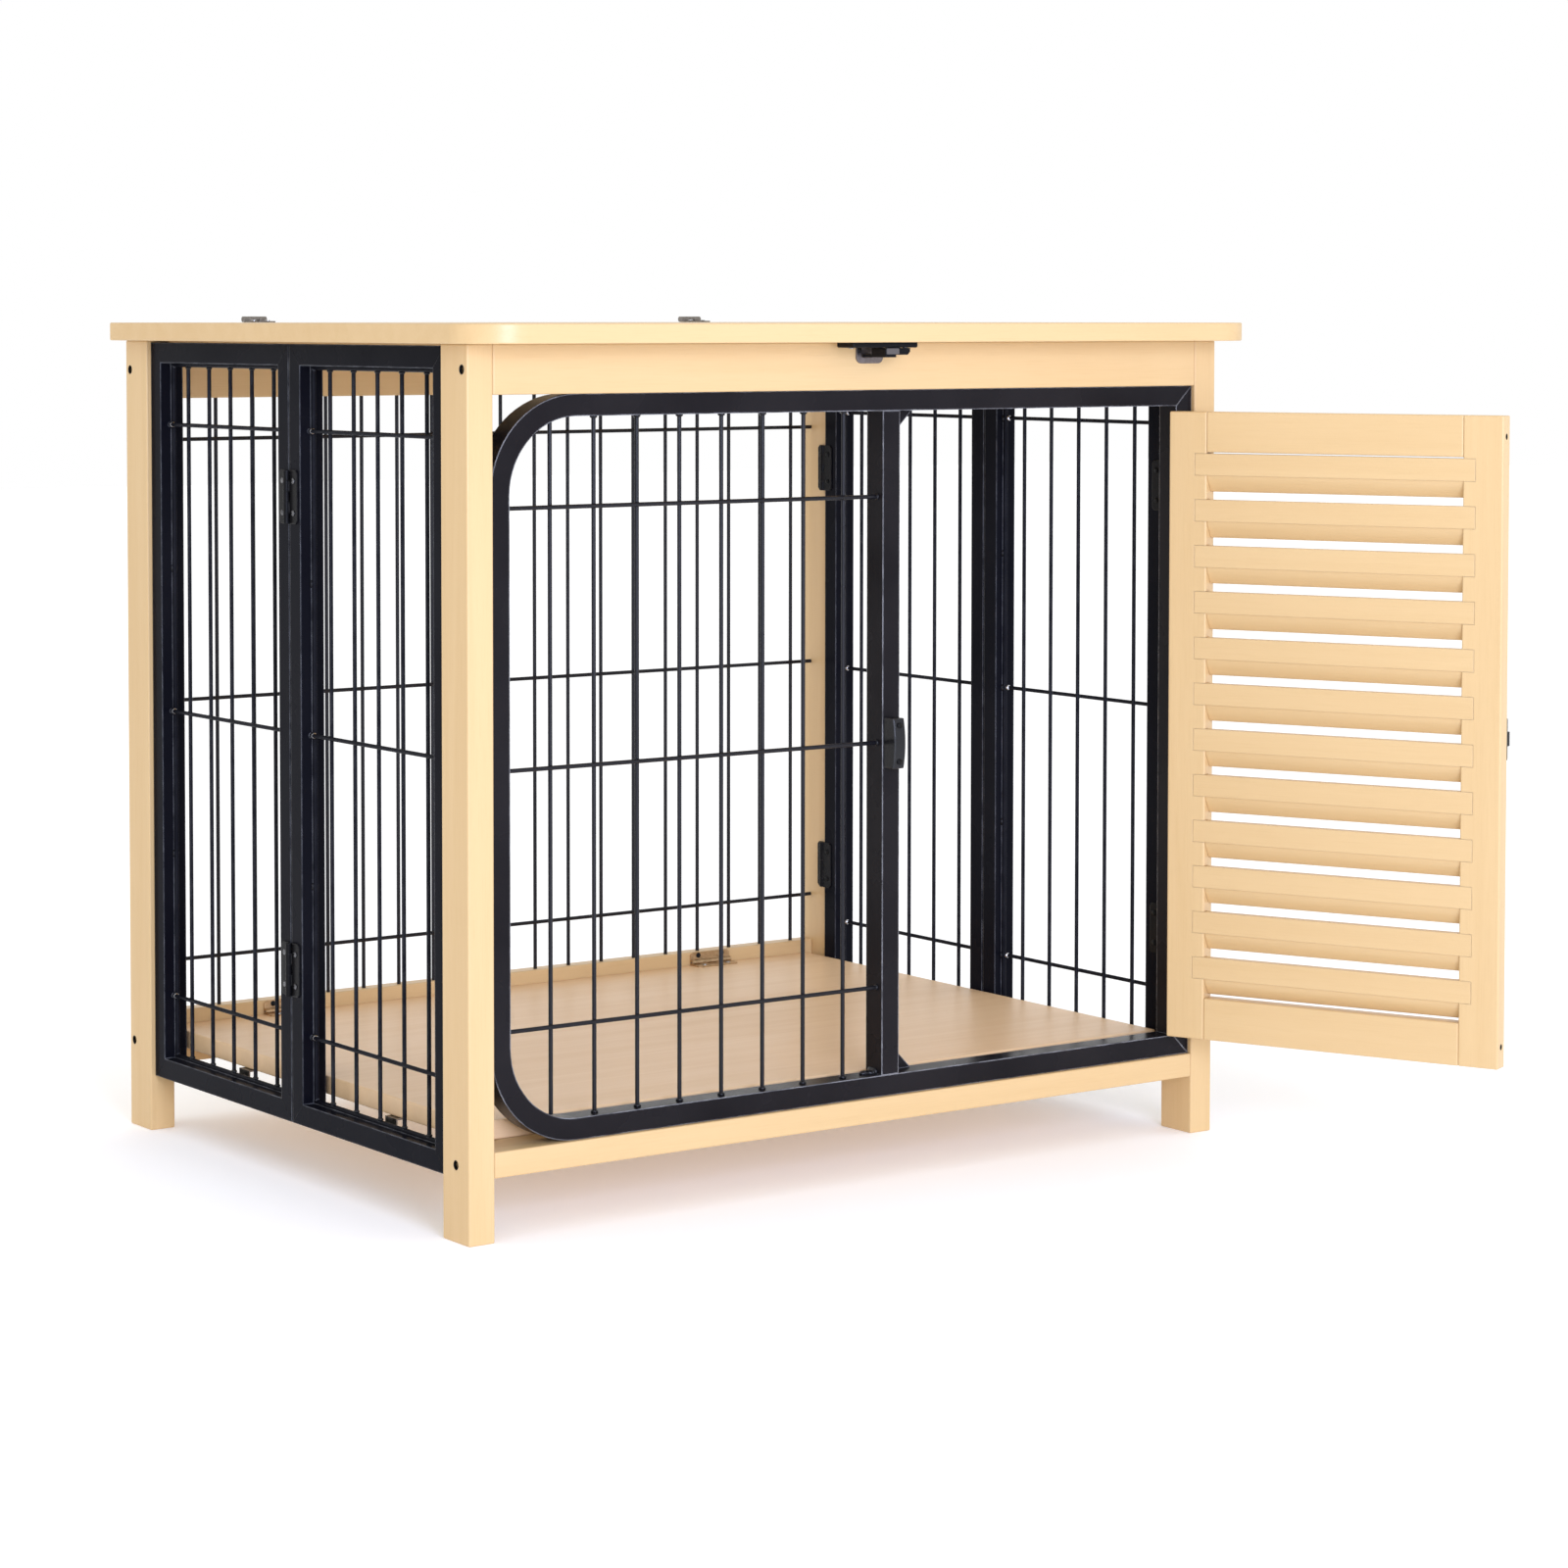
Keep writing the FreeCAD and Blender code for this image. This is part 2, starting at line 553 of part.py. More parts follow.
REAR_ROW_SPREAD = f"({REAR_GRID_TOP} - rear_row_drop - rear_row_base)"
rear_grid = []
for index in range(VALUES["rear_wire_count"]):
    rear_grid.append(solid_rod(
        f"Rear_Wire_{index + 1}", "wire_radius",
        f"{REAR_GRID_TOP} - {REAR_GRID_BASE} + 2 * rear_wire_socket - 2 * slide_gap",
        (f"{REAR_WIRE_FIRST} + {index} * {REAR_WIRE_SPREAD} / (rear_wire_count - 1)", REAR_WIRE_Y,
         f"{REAR_GRID_BASE} - rear_wire_socket + slide_gap")))
rear_grid += wire_rows("Rear", f"{REAR_WIRE_Y} - 2 * wire_radius + wire_bite", f"{INNER_LEFT} + fit_gap",
                       f"{RAIL_LENGTH} - 2 * fit_gap", "rear_row_base", REAR_ROW_SPREAD)
keep(welded("Rear_Grid", rear_grid), "Rear_Grid")


# ---------------------------------------------------------------------------------------------------
# Side panels: a mitred tube frame, a rim of rod inside it and a wire grid, welded into one panel
# ---------------------------------------------------------------------------------------------------
PANEL_LENGTH = f"({REAR} - post_depth - 2 * fold_gap)"
PANEL_HEIGHT = f"({POST_TOP} - panel_top_gap - panel_base)"
PANEL_FACE = f"({LEFT} + frame_setback)"
RIM_X = f"({PANEL_FACE} + rim_inset)"
PANEL_INNER_LENGTH = f"({PANEL_LENGTH} - 2 * tube_width)"
PANEL_INNER_HEIGHT = f"({PANEL_HEIGHT} - 2 * tube_width)"


def panel_ring(name, inset):
    """The rectangular ring of the panel's tube; inset draws its surface inwards for the hollow."""
    outer = solid_box(f"{name}_Outline", (f"tube_depth - 2 * {inset}", f"{PANEL_LENGTH} - 2 * {inset}",
                                          f"{PANEL_HEIGHT} - 2 * {inset}"),
                      (f"{PANEL_FACE} + {inset}", f"fold_gap + {inset}", f"panel_base + {inset}"))
    inner = solid_box(f"{name}_Opening", ("tube_depth", f"{PANEL_INNER_LENGTH} + 2 * {inset}",
                                          f"{PANEL_INNER_HEIGHT} + 2 * {inset}"),
                      (PANEL_FACE, f"fold_gap + tube_width - {inset}", f"panel_base + tube_width - {inset}"))
    return less(name, outer, inner)


SIDE_WIRE_SPREAD = f"({PANEL_INNER_LENGTH} - 2 * side_wire_margin)"
SIDE_ROW_SPREAD = f"(panel_base + tube_width + {PANEL_INNER_HEIGHT} - side_row_drop - side_row_base)"
rim_back = "(tube_width + rim_radius - wire_bite)"
panel = [less("Panel_Tube", panel_ring("Panel_Outside", "0"), panel_ring("Panel_Hollow", "tube_wall"))]
for index, end in enumerate((f"(fold_gap + {rim_back})", f"(fold_gap + {PANEL_LENGTH} - {rim_back})")):
    panel.append(solid_rod(f"Panel_Rim_Upright_{index + 1}", "rim_radius", PANEL_INNER_HEIGHT,
                           (RIM_X, end, "panel_base + tube_width")))
for index, level in enumerate((f"(panel_base + {rim_back})", f"(panel_base + {PANEL_HEIGHT} - {rim_back})")):
    panel.append(solid_rod(f"Panel_Rim_Level_{index + 1}", "rim_radius", PANEL_INNER_LENGTH,
                           (RIM_X, "fold_gap + tube_width", level), ALONG_Y))
for index in range(VALUES["side_wire_count"]):
    offset = f"(side_wire_margin + {index} * {SIDE_WIRE_SPREAD} / (side_wire_count - 1))"
    panel.append(solid_rod(f"Panel_Wire_{index + 1}", "wire_radius", PANEL_INNER_HEIGHT,
                           (RIM_X, f"fold_gap + tube_width + {offset}", "panel_base + tube_width")))
panel += wire_rows("Panel", f"{RIM_X} - 2 * wire_radius + wire_bite", "fold_gap + tube_width",
                   PANEL_INNER_LENGTH, "side_row_base", SIDE_ROW_SPREAD, ALONG_Y)
left_rear_panel = keep(welded("Side_Panel_Left_Rear", panel), "Side_Panel_Left_Rear")


def mirrored(label, source, normal):
    twin = doc.addObject("Part::Mirroring", label)
    twin.Source = source
    twin.Normal = normal
    return keep(twin, label)


left_front_panel = mirrored("Side_Panel_Left_Front", left_rear_panel, Vector(0, 1, 0))
mirrored("Side_Panel_Right_Rear", left_rear_panel, Vector(1, 0, 0))
mirrored("Side_Panel_Right_Front", left_front_panel, Vector(1, 0, 0))


# ---------------------------------------------------------------------------------------------------
# Hinges: masters for the leaves, pins and screws, each in its own frame with the pin along Z
# ---------------------------------------------------------------------------------------------------
def hinge_leaf(name, length, reach, stand, knuckles, count):
    """A leaf that reaches along +X from the pin; its mounting face lies stand below the pin's axis."""
    body = new_body(name)
    face = f"(-{stand})"
    block(body, (f"{reach} - leaf_start", "leaf_thickness", length), ("leaf_start", face, f"-{length} / 2"))
    ease(body, "leaf_chamfer",
         lambda edge: runs_along(edge, "y") and edge.CenterOfMass.x > VALUES["leaf_start"] + 1, "Chamfer")
    knuckle = f"({length} / {count} - knuckle_gap)"
    for index in knuckles:
        base = f"(-{length} / 2 + {index} * {length} / {count} + knuckle_gap / 2)"
        block(body, ("leaf_start + leaf_thickness", "leaf_thickness", knuckle), ("0", face, base))
        rod(body, "knuckle_radius", knuckle, ("0", "0", base))
    rod(body, "pin_radius + pin_gap", f"{length}", ("0", "0", f"-{length} / 2"), cut=True)
    for side in ("-", ""):
        middle = (f"({reach} + leaf_start) / 2", f"{face} - leaf_thickness", f"{side}{length} * 0.3")
        rod(body, "screw_radius + fit_gap", "4 * leaf_thickness", middle, ALONG_Y, cut=True)
    return body


def screw_master(name, grip):
    """A pan-head screw whose shank reaches just as far as the face under its plate."""
    body = new_body(name)
    rod(body, "screw_radius", grip, ("0", "0", "0"))
    rod(body, "screw_head_radius", "screw_head_height", ("0", "0", "-screw_head_height"))
    ease(body, "screw_head_height * 0.6",
         lambda edge: edge.Closed and edge.CenterOfMass.z < -VALUES["screw_head_height"] / 2
         and edge.BoundBox.XLength > 2 * VALUES["screw_radius"] + 1)
    return body


def pin_master(name, length):
    body = new_body(name)
    rod(body, "pin_radius", length, ("0", "0", f"-{length} / 2"))
    return body


def turned(x_axis, y_axis):
    """The turn that carries a leaf's own X and Y onto two given directions."""
    along, up = Vector(*x_axis), Vector(*y_axis)
    return Rotation(along, up, along.cross(up), "XYZ")


def leaf_screws(master, turn, at, length, reach, stand):
    """The two screws of one leaf, set down onto the leaf's free face."""
    along, out, up = (turn.multVec(Vector(*axis)) for axis in ((1, 0, 0), (0, 1, 0), (0, 0, 1)))
    places = []
    for side in (-0.3, 0.3):
        spot = tuple(f"{middle} + {round(a)} * ({reach} + leaf_start) / 2"
                     f" + {round(o)} * (leaf_thickness - {stand}) + {round(u) * side} * {length}"
                     for middle, a, o, u in zip(at, along, out, up))
        places.append((master, turn.multiply(AGAINST_Y), spot))
    return places


# A leaf's length, reach and stand.
MID_LEAF = ("hinge_length", "leaf_reach", "hinge_stand")
POST_LEAF = ("hinge_length", "corner_leaf_reach", "hinge_stand")
PANEL_LEAF = ("hinge_length", "leaf_reach", "(hinge_stand - (frame_setback + tube_depth - post_width))")
ODD_KNUCKLES = (0, 2, 4)
EVEN_KNUCKLES = (1, 3)
leaf_odd = hinge_leaf("Leaf_Odd_Master", *MID_LEAF, ODD_KNUCKLES, 5)
leaf_even = hinge_leaf("Leaf_Even_Master", *MID_LEAF, EVEN_KNUCKLES, 5)
# A corner hinge's panel leaf lies closer to the pin, because the panel stands proud of the post there.
leaf_panel = hinge_leaf("Leaf_Panel_Master", *PANEL_LEAF, EVEN_KNUCKLES, 5)
leaf_post = hinge_leaf("Leaf_Post_Master", *POST_LEAF, ODD_KNUCKLES, 5)
side_pin = pin_master("Side_Pin_Master", "hinge_length")
leaf_screw = screw_master("Leaf_Screw_Master", "leaf_thickness")

plate_screws = []

# Mid hinges lie on the outside over the gap between a side's two panels, corner hinges inside between
# each panel and its post.
mid_leaves = []
corner_leaves = []
side_pins = []
for outward, face in ((-1, PANEL_FACE), (1, f"(-{PANEL_FACE})")):
    for level in ("hinge_low", HINGE_HIGH):
        pin_at = (f"{face} + {outward} * hinge_stand", "0", level)
        side_pins.append((side_pin, ALONG_Z, pin_at))
        for master, way in ((leaf_odd, 1), (leaf_even, -1)):
            turn = turned((0, way, 0), (outward, 0, 0))
            mid_leaves.append((master, turn, pin_at))
            plate_screws += leaf_screws(leaf_screw, turn, pin_at, *MID_LEAF)
        for end in (-1, 1):
            inner = f"({outward} * (width / 2 - post_width - hinge_stand))"
            pin_at = (inner, f"{end} * ({REAR} - post_depth + corner_pin_shift)", level)
            side_pins.append((side_pin, ALONG_Z, pin_at))
            for master, way, leaf in ((leaf_post, end, POST_LEAF), (leaf_panel, -end, PANEL_LEAF)):
                turn = turned((0, way, 0), (-outward, 0, 0))
                corner_leaves.append((master, turn, pin_at))
                plate_screws += leaf_screws(leaf_screw, turn, pin_at, *leaf)
copies("Mid_Hinge_Leaves", mid_leaves)
copies("Corner_Hinge_Leaves", corner_leaves)
copies("Side_Hinge_Pins", side_pins)


# ---------------------------------------------------------------------------------------------------
# Floor: a board on two hinges at the back, resting on a ledge and four clips
# ---------------------------------------------------------------------------------------------------
FLOOR_BASE = "(floor_top - floor_thickness)"
FLOOR_WIDTH = f"({RAIL_LENGTH} - 2 * floor_side_gap)"
FLOOR_FRONT = f"({FRONT} + post_depth + floor_end_gap)"
timber("Floor_Board", (FLOOR_WIDTH, f"{BACK_BOARD} - floor_end_gap - {FLOOR_FRONT}", "floor_thickness"),
       (f"{INNER_LEFT} + floor_side_gap", FLOOR_FRONT, FLOOR_BASE))
LEDGE_HEIGHT = "(front_rail_height - timber_ease)"
timber("Floor_Ledge", (f"{RAIL_LENGTH} - 2 * ledge_end_gap", "ledge_width", LEDGE_HEIGHT),
       (f"{INNER_LEFT} + ledge_end_gap", f"{FRONT} + post_depth",
        f"{FLOOR_BASE} - slide_gap - {LEDGE_HEIGHT}"))

clip = new_body("Floor_Clip_Master")
CLIP_HEIGHT = f"({FLOOR_BASE} - slide_gap - panel_base - timber_ease)"
block(clip, ("leaf_thickness", "clip_width", CLIP_HEIGHT), ("0", "-clip_width / 2", f"-{CLIP_HEIGHT}"))
block(clip, ("clip_reach", "clip_width", "leaf_thickness"), ("0", "-clip_width / 2", "-leaf_thickness"))
clip_places = []
for outward, turn in ((-1, Rotation()), (1, Rotation(Vector(0, 0, 1), 180))):
    for end in (-1, 1):
        clip_places.append((clip, turn, (
            f"{outward} * ({RIGHT} - frame_setback - tube_depth)", f"{end} * (fold_gap + {PANEL_LENGTH} / 2)",
            f"{FLOOR_BASE} - slide_gap")))
copies("Floor_Rest_Clips", clip_places)

FLOOR_LEAF = ("floor_hinge_length", "leaf_reach", "hinge_stand")
FLOOR_RAIL_LEAF = ("floor_hinge_length", "floor_leaf_rise", "hinge_stand")
floor_leaf = hinge_leaf("Floor_Leaf_Master", *FLOOR_LEAF, EVEN_KNUCKLES, 5)
floor_rail_leaf = hinge_leaf("Floor_Rail_Leaf_Master", *FLOOR_RAIL_LEAF, ODD_KNUCKLES, 5)
floor_pin = pin_master("Floor_Pin_Master", "floor_hinge_length")
board_leaves = []
rail_leaves = []
floor_screws = []
moving_pins = []
for side in (-1, 1):
    pin_at = (f"{side} * floor_hinge_spread", f"{BACK_BOARD} - hinge_stand", "floor_top + hinge_stand")
    on_board = turned((0, -1, 0), (0, 0, 1))
    on_rail = turned((0, 0, 1), (0, -1, 0))
    board_leaves.append((floor_leaf, on_board, pin_at))
    rail_leaves.append((floor_rail_leaf, on_rail, pin_at))
    moving_pins.append((floor_pin, ALONG_X, pin_at))
    floor_screws += leaf_screws(leaf_screw, on_board, pin_at, *FLOOR_LEAF)
    plate_screws += leaf_screws(leaf_screw, on_rail, pin_at, *FLOOR_RAIL_LEAF)
copies("Floor_Hinge_Board_Leaves", board_leaves)
copies("Floor_Hinge_Rail_Leaves", rail_leaves)
copies("Floor_Screws", floor_screws)


# ---------------------------------------------------------------------------------------------------
# Lid: a board with two round front corners, hinged over the back edge, with a bolt under its front
# ---------------------------------------------------------------------------------------------------
lid = new_body("Lid_Board")
block(lid, ("width + 2 * lid_side_overhang", "depth + lid_front_overhang", "lid_thickness"),
      (f"{LEFT} - lid_side_overhang", f"{FRONT} - lid_front_overhang", POST_TOP))
ease(lid, "lid_corner_radius", lambda edge: runs_along(edge, "z") and edge.CenterOfMass.y < 0)
ease(lid, "timber_ease")
keep(lid, "Lid_Board")

LID_LEAF = ("lid_hinge_length", "lid_leaf_reach", "hinge_stand")
LID_RAIL_LEAF = ("lid_hinge_length", "lid_leaf_drop", "hinge_stand")
lid_leaf = hinge_leaf("Lid_Leaf_Master", *LID_LEAF, (1,), 3)
lid_rail_leaf = hinge_leaf("Lid_Rail_Leaf_Master", *LID_RAIL_LEAF, (0, 2), 3)
lid_pin = pin_master("Lid_Pin_Master", "lid_hinge_length")
lid_leaves = []
lid_rail_leaves = []
lid_screws = []
for middle in ("(-lid_hinge_left)", "lid_hinge_right"):
    pin_at = (middle, f"{REAR} + hinge_stand", "height + hinge_stand")
    on_lid = turned((0, -1, 0), (0, 0, 1))
    on_rail = turned((0, 0, -1), (0, 1, 0))
    lid_leaves.append((lid_leaf, on_lid, pin_at))
    lid_rail_leaves.append((lid_rail_leaf, on_rail, pin_at))
    moving_pins.append((lid_pin, ALONG_X, pin_at))
    lid_screws += leaf_screws(leaf_screw, on_lid, pin_at, *LID_LEAF)
    plate_screws += leaf_screws(leaf_screw, on_rail, pin_at, *LID_RAIL_LEAF)
copies("Lid_Hinge_Lid_Leaves", lid_leaves)
copies("Lid_Hinge_Rail_Leaves", lid_rail_leaves)

# The latch's base plate has a T-shaped groove; the bolt's neck and head run in it. A flat tongue under
# the bolt's block goes through the strike plate into the apron.
LATCH_FRONT = f"({FRONT} - lid_front_overhang + lid_latch_setback)"
LATCH_BASE = f"({POST_TOP} - lid_latch_thickness)"
LID_BOLT_MID = "((lid_bolt_right - lid_bolt_left) / 2)"
NECK = "(tongue_width / 2)"
HEAD = "(tongue_width * 0.8)"
HEAD_RISE = "(lid_latch_thickness / 3)"
NECK_FRONT = f"({LATCH_FRONT} + 2 * slide_gap)"
NECK_LENGTH = "(lid_bolt_length / 2)"
GROOVE_LENGTH = f"({NECK_LENGTH} + lid_bolt_travel + 2 * slide_gap)"
latch = new_body("Lid_Latch_Base")
block(latch, ("lid_latch_left + lid_latch_right", "lid_latch_width", "lid_latch_thickness"),
      ("-lid_latch_left", LATCH_FRONT, LATCH_BASE))
ease(latch, "timber_ease", lambda edge: edge.CenterOfMass.z < VALUES["height"] - VALUES["lid_thickness"] - 1)
block(latch, (f"{NECK} + 2 * slide_gap", GROOVE_LENGTH, "lid_latch_thickness"),
      (f"{LID_BOLT_MID} - {NECK} / 2 - slide_gap", f"{NECK_FRONT} - slide_gap", LATCH_BASE), cut=True)
block(latch, (f"{HEAD} + 2 * slide_gap", GROOVE_LENGTH, f"{HEAD_RISE} + 2 * slide_gap"),
      (f"{LID_BOLT_MID} - {HEAD} / 2 - slide_gap", f"{NECK_FRONT} - slide_gap",
       f"{POST_TOP} - {HEAD_RISE} - 2 * slide_gap"), cut=True)
latch_screw = screw_master("Lid_Latch_Screw_Master", "lid_latch_thickness")
for across in ("(-lid_latch_left + lid_latch_thickness * 1.4)",
               "(lid_latch_right - lid_latch_thickness * 1.1)"):
    spot = (across, f"{LATCH_FRONT} + lid_latch_width / 2", LATCH_BASE)
    rod(latch, "screw_radius + fit_gap", "lid_latch_thickness", spot, cut=True)
    lid_screws.append((latch_screw, ALONG_Z, spot))
keep(latch, "Lid_Latch_Base")
copies("Lid_Screws", lid_screws)

STRIKE_GAP = "(leaf_thickness + 2 * slide_gap)"
bolt = new_body("Lid_Latch_Bolt")
BOLT_BASE = f"({TONGUE_BASE} + tongue_thickness)"
block(bolt, ("lid_bolt_left + lid_bolt_right", "lid_bolt_length", f"{LATCH_BASE} - slide_gap - {BOLT_BASE}"),
      ("-lid_bolt_left", LATCH_FRONT, BOLT_BASE))
BOLT_MIDDLE = VALUES["height"] - VALUES["lid_thickness"] - VALUES["lid_latch_thickness"] - 2
ease(bolt, "leaf_chamfer", lambda edge: runs_along(edge, "y") and edge.CenterOfMass.x > 0
     and edge.CenterOfMass.z < BOLT_MIDDLE, "Chamfer")
block(bolt, ("tongue_width", f"{FRONT} - {STRIKE_GAP} - {LATCH_FRONT}", "tongue_thickness"),
      ("-tongue_width / 2", LATCH_FRONT, TONGUE_BASE))
block(bolt, (NECK, NECK_LENGTH, f"lid_latch_thickness - {HEAD_RISE}"),
      (f"{LID_BOLT_MID} - {NECK} / 2", NECK_FRONT, f"{LATCH_BASE} - slide_gap"))
block(bolt, (HEAD, NECK_LENGTH, HEAD_RISE),
      (f"{LID_BOLT_MID} - {HEAD} / 2", NECK_FRONT, f"{POST_TOP} - {HEAD_RISE} - slide_gap"))
keep(bolt, "Lid_Latch_Bolt")

strike = new_body("Lid_Strike_Plate")
block(strike, ("strike_left + strike_right", "leaf_thickness", "strike_drop"),
      ("-strike_left", f"{FRONT} - leaf_thickness", f"{POST_TOP} - strike_drop"))
ease(strike, "strike_corner", lambda edge: runs_along(edge, "y")
     and edge.CenterOfMass.z < VALUES["height"] - VALUES["lid_thickness"] - 2)
block(strike, ("tongue_width + 2 * slide_gap", "leaf_thickness", "tongue_thickness + 2 * slide_gap"),
      ("-tongue_width / 2 - slide_gap", f"{FRONT} - leaf_thickness", f"{TONGUE_BASE} - slide_gap"), cut=True)
for spot in ("(-strike_left + screw_radius * 2)", "(strike_right - screw_radius * 2.4)"):
    level = f"({TONGUE_BASE} + tongue_thickness * 2.8)"
    rod(strike, "screw_radius + fit_gap", "leaf_thickness",
        (spot, f"{FRONT} - leaf_thickness", level), ALONG_Y, cut=True)
    plate_screws.append((leaf_screw, ALONG_Y, (spot, f"{FRONT} - leaf_thickness", level)))
keep(strike, "Lid_Strike_Plate")


# ---------------------------------------------------------------------------------------------------
# Door: built in its own frame, then hung on its pins
# ---------------------------------------------------------------------------------------------------
# In the door's frame X runs from the pins to the free edge, Y out through the outer face and Z up.
PIN_X = f"({DOORWAY_RIGHT} - door_side_gap / 2)"
PIN_Y = f"({STEEL_FRONT} - hinge_stand)"
DOOR_START = "(door_side_gap / 2)"
DOOR_WIDTH = "(doorway_width - 2 * door_side_gap)"
DOOR_INNER = "(-hinge_stand - door_thickness)"
DOOR_BASE = f"({BAY_BASE} + door_base_gap)"
DOOR_TOP = f"({BAY_TOP} - door_top_gap)"
DOOR_HEIGHT = f"({DOOR_TOP} - {DOOR_BASE})"
DOOR_RAIL_START = f"({DOOR_START} + stile_width)"
DOOR_RAIL_LENGTH = f"({DOOR_WIDTH} - 2 * stile_width)"
TOP_RAIL_BASE = f"({DOOR_TOP} - door_top_rail)"
DOOR_FREE = f"({DOOR_START} + {DOOR_WIDTH})"
DOOR_SCREW_Y = f"({DOOR_INNER} + door_thickness / 2)"
SLAT_ROOM = f"({TOP_RAIL_BASE} - slat_top_gap - {DOOR_BASE} - door_bottom_rail - slat_bottom_gap)"
SLAT_DROP = f"(({SLAT_ROOM} - (slat_count - 1) * slat_gap) / slat_count)"
SLAT_FOOT = f"({SLAT_DROP} - slat_tongue)"
SLAT_LEAN = f"sqrt({SLAT_FOOT} * {SLAT_FOOT} + slat_nose_near * slat_nose_near)"
# The belly's round keeps to six tenths of the leaning side.
SLAT_BELLY = f"min(slat_belly_radius; 0.6 * {SLAT_LEAN} * slat_nose_near / ({SLAT_LEAN} - {SLAT_FOOT}))"
DOOR_SCREW_LEVELS = (f"({DOOR_TOP} - door_top_rail / 2)", f"({DOOR_BASE} + door_bottom_rail / 2)")


def hang(item):
    """Carry a piece from the door's frame to its place on the pins, open by the rest angle."""
    item.Placement = Placement(Vector(), Rotation(Vector(0, 0, 1), 180))
    bind(item, "Placement.Base.x", PIN_X)
    bind(item, "Placement.Base.y", PIN_Y)
    bind(item, "Placement.Rotation.Angle", "(180 + door_open) * 1 deg")


def slat_top(index):
    return f"({TOP_RAIL_BASE} - slat_top_gap - {index} * ({SLAT_DROP} + slat_gap))"


def stile(label, start, free):
    """An upright of the door, notched for the slats and bored for the rail screws."""
    body = new_body(label)
    block(body, ("stile_width", "door_thickness", DOOR_HEIGHT), (start, DOOR_INNER, DOOR_BASE))
    ease(body, "timber_ease")
    notch_start = start if free else f"{start} + stile_width - slat_let_in"
    for index in range(VALUES["slat_count"]):
        block(body, ("slat_let_in", "slat_tongue_depth", "slat_tongue + 2 * fit_gap"),
              (notch_start, DOOR_INNER, f"{slat_top(index)} - slat_tongue - fit_gap"), cut=True)
    for level in DOOR_SCREW_LEVELS:
        mouth = f"({start} + stile_width - door_bore_depth)" if free else start
        rod(body, "door_bore_radius", "door_bore_depth", (mouth, DOOR_SCREW_Y, level), ALONG_X, cut=True)
        rod(body, "door_screw_radius + fit_gap", "stile_width",
            (start, DOOR_SCREW_Y, level), ALONG_X, cut=True)
    hang(keep(body, label))


stile("Door_Hinge_Stile", DOOR_START, False)
stile("Door_Free_Stile", f"({DOOR_FREE} - stile_width)", True)


def door_rail(label, base, height, level):
    body = timber(label, (DOOR_RAIL_LENGTH, "door_thickness", height), (DOOR_RAIL_START, DOOR_INNER, base))
    for start in (DOOR_RAIL_START, f"({DOOR_RAIL_START} + {DOOR_RAIL_LENGTH} - door_screw_grip - slide_gap)"):
        rod(body, "door_screw_radius + fit_gap", "door_screw_grip + slide_gap",
            (start, DOOR_SCREW_Y, level), ALONG_X, cut=True)
    hang(body)


door_rail("Door_Top_Rail", TOP_RAIL_BASE, "door_top_rail", DOOR_SCREW_LEVELS[0])
door_rail("Door_Bottom_Rail", DOOR_BASE, "door_bottom_rail", DOOR_SCREW_LEVELS[1])


def flat_foot(body):
    """Height of the foot of a slat's flat face above its nose."""
    return body.Shape.BoundBox.ZMax - VALUES["slat_tongue"]


def slat(label, index):
    """A louvre slat: flat at the inner face, then leaning out to a rounded nose near the outer face."""
    body = new_body(label)
    profile = outline(body, "YZ_Plane", [
        ("0", SLAT_DROP), ("0", SLAT_FOOT), ("slat_nose_near", "0"),
        ("slat_nose_far", "0"), ("slat_tongue_depth", SLAT_DROP)])
    pad(body, profile, f"{DOOR_RAIL_LENGTH} - 2 * fit_gap")
    ease(body, "slat_nose_radius",
         lambda edge: runs_along(edge, "x") and edge.CenterOfMass.z < flat_foot(body) / 2)
    ease(body, SLAT_BELLY, lambda edge: runs_along(edge, "x")
         and abs(edge.CenterOfMass.z - flat_foot(body)) < 1 and edge.CenterOfMass.y < 1)
    block(body, (f"{DOOR_RAIL_LENGTH} + 2 * slat_let_in - 2 * fit_gap",
                 "slat_tongue_depth - fit_gap", "slat_tongue"),
          ("-slat_let_in", "0", SLAT_FOOT))
    keep(body, label)
    angle = "((180 + door_open) * 1 deg)"
    along = f"({DOOR_RAIL_START} + fit_gap)"
    body.Placement = Placement(Vector(), Rotation(Vector(0, 0, 1), 180))
    bind(body, "Placement.Base.x", f"{PIN_X} + {along} * cos({angle}) - {DOOR_INNER} * sin({angle})")
    bind(body, "Placement.Base.y", f"{PIN_Y} + {along} * sin({angle}) + {DOOR_INNER} * cos({angle})")
    bind(body, "Placement.Base.z", f"{slat_top(index)} - {SLAT_DROP}")
    bind(body, "Placement.Rotation.Angle", angle)


for index in range(VALUES["slat_count"]):
    slat(f"Door_Slat_{index + 1:02d}", index)

# Two surface hinges: one leaf on the right-hand tube, the other on the door's outer face.
tube_leaves = []
door_leaves = []
door_screws = []
for level in ("hinge_low", HINGE_HIGH):
    pin_at = (PIN_X, PIN_Y, level)
    on_tube = turned((1, 0, 0), (0, -1, 0))
    tube_leaves.append((leaf_odd, on_tube, pin_at))
    moving_pins.append((side_pin, ALONG_Z, pin_at))
    plate_screws += leaf_screws(leaf_screw, on_tube, pin_at, *MID_LEAF)
    door_leaves.append((leaf_even, Rotation(), ("0", "0", level)))
    door_screws += leaf_screws(leaf_screw, Rotation(), ("0", "0", level), *MID_LEAF)
copies("Door_Hinge_Tube_Leaves", tube_leaves)
hang(copies("Door_Hinge_Door_Leaves", door_leaves))
copies("Moving_Hinge_Pins", moving_pins)

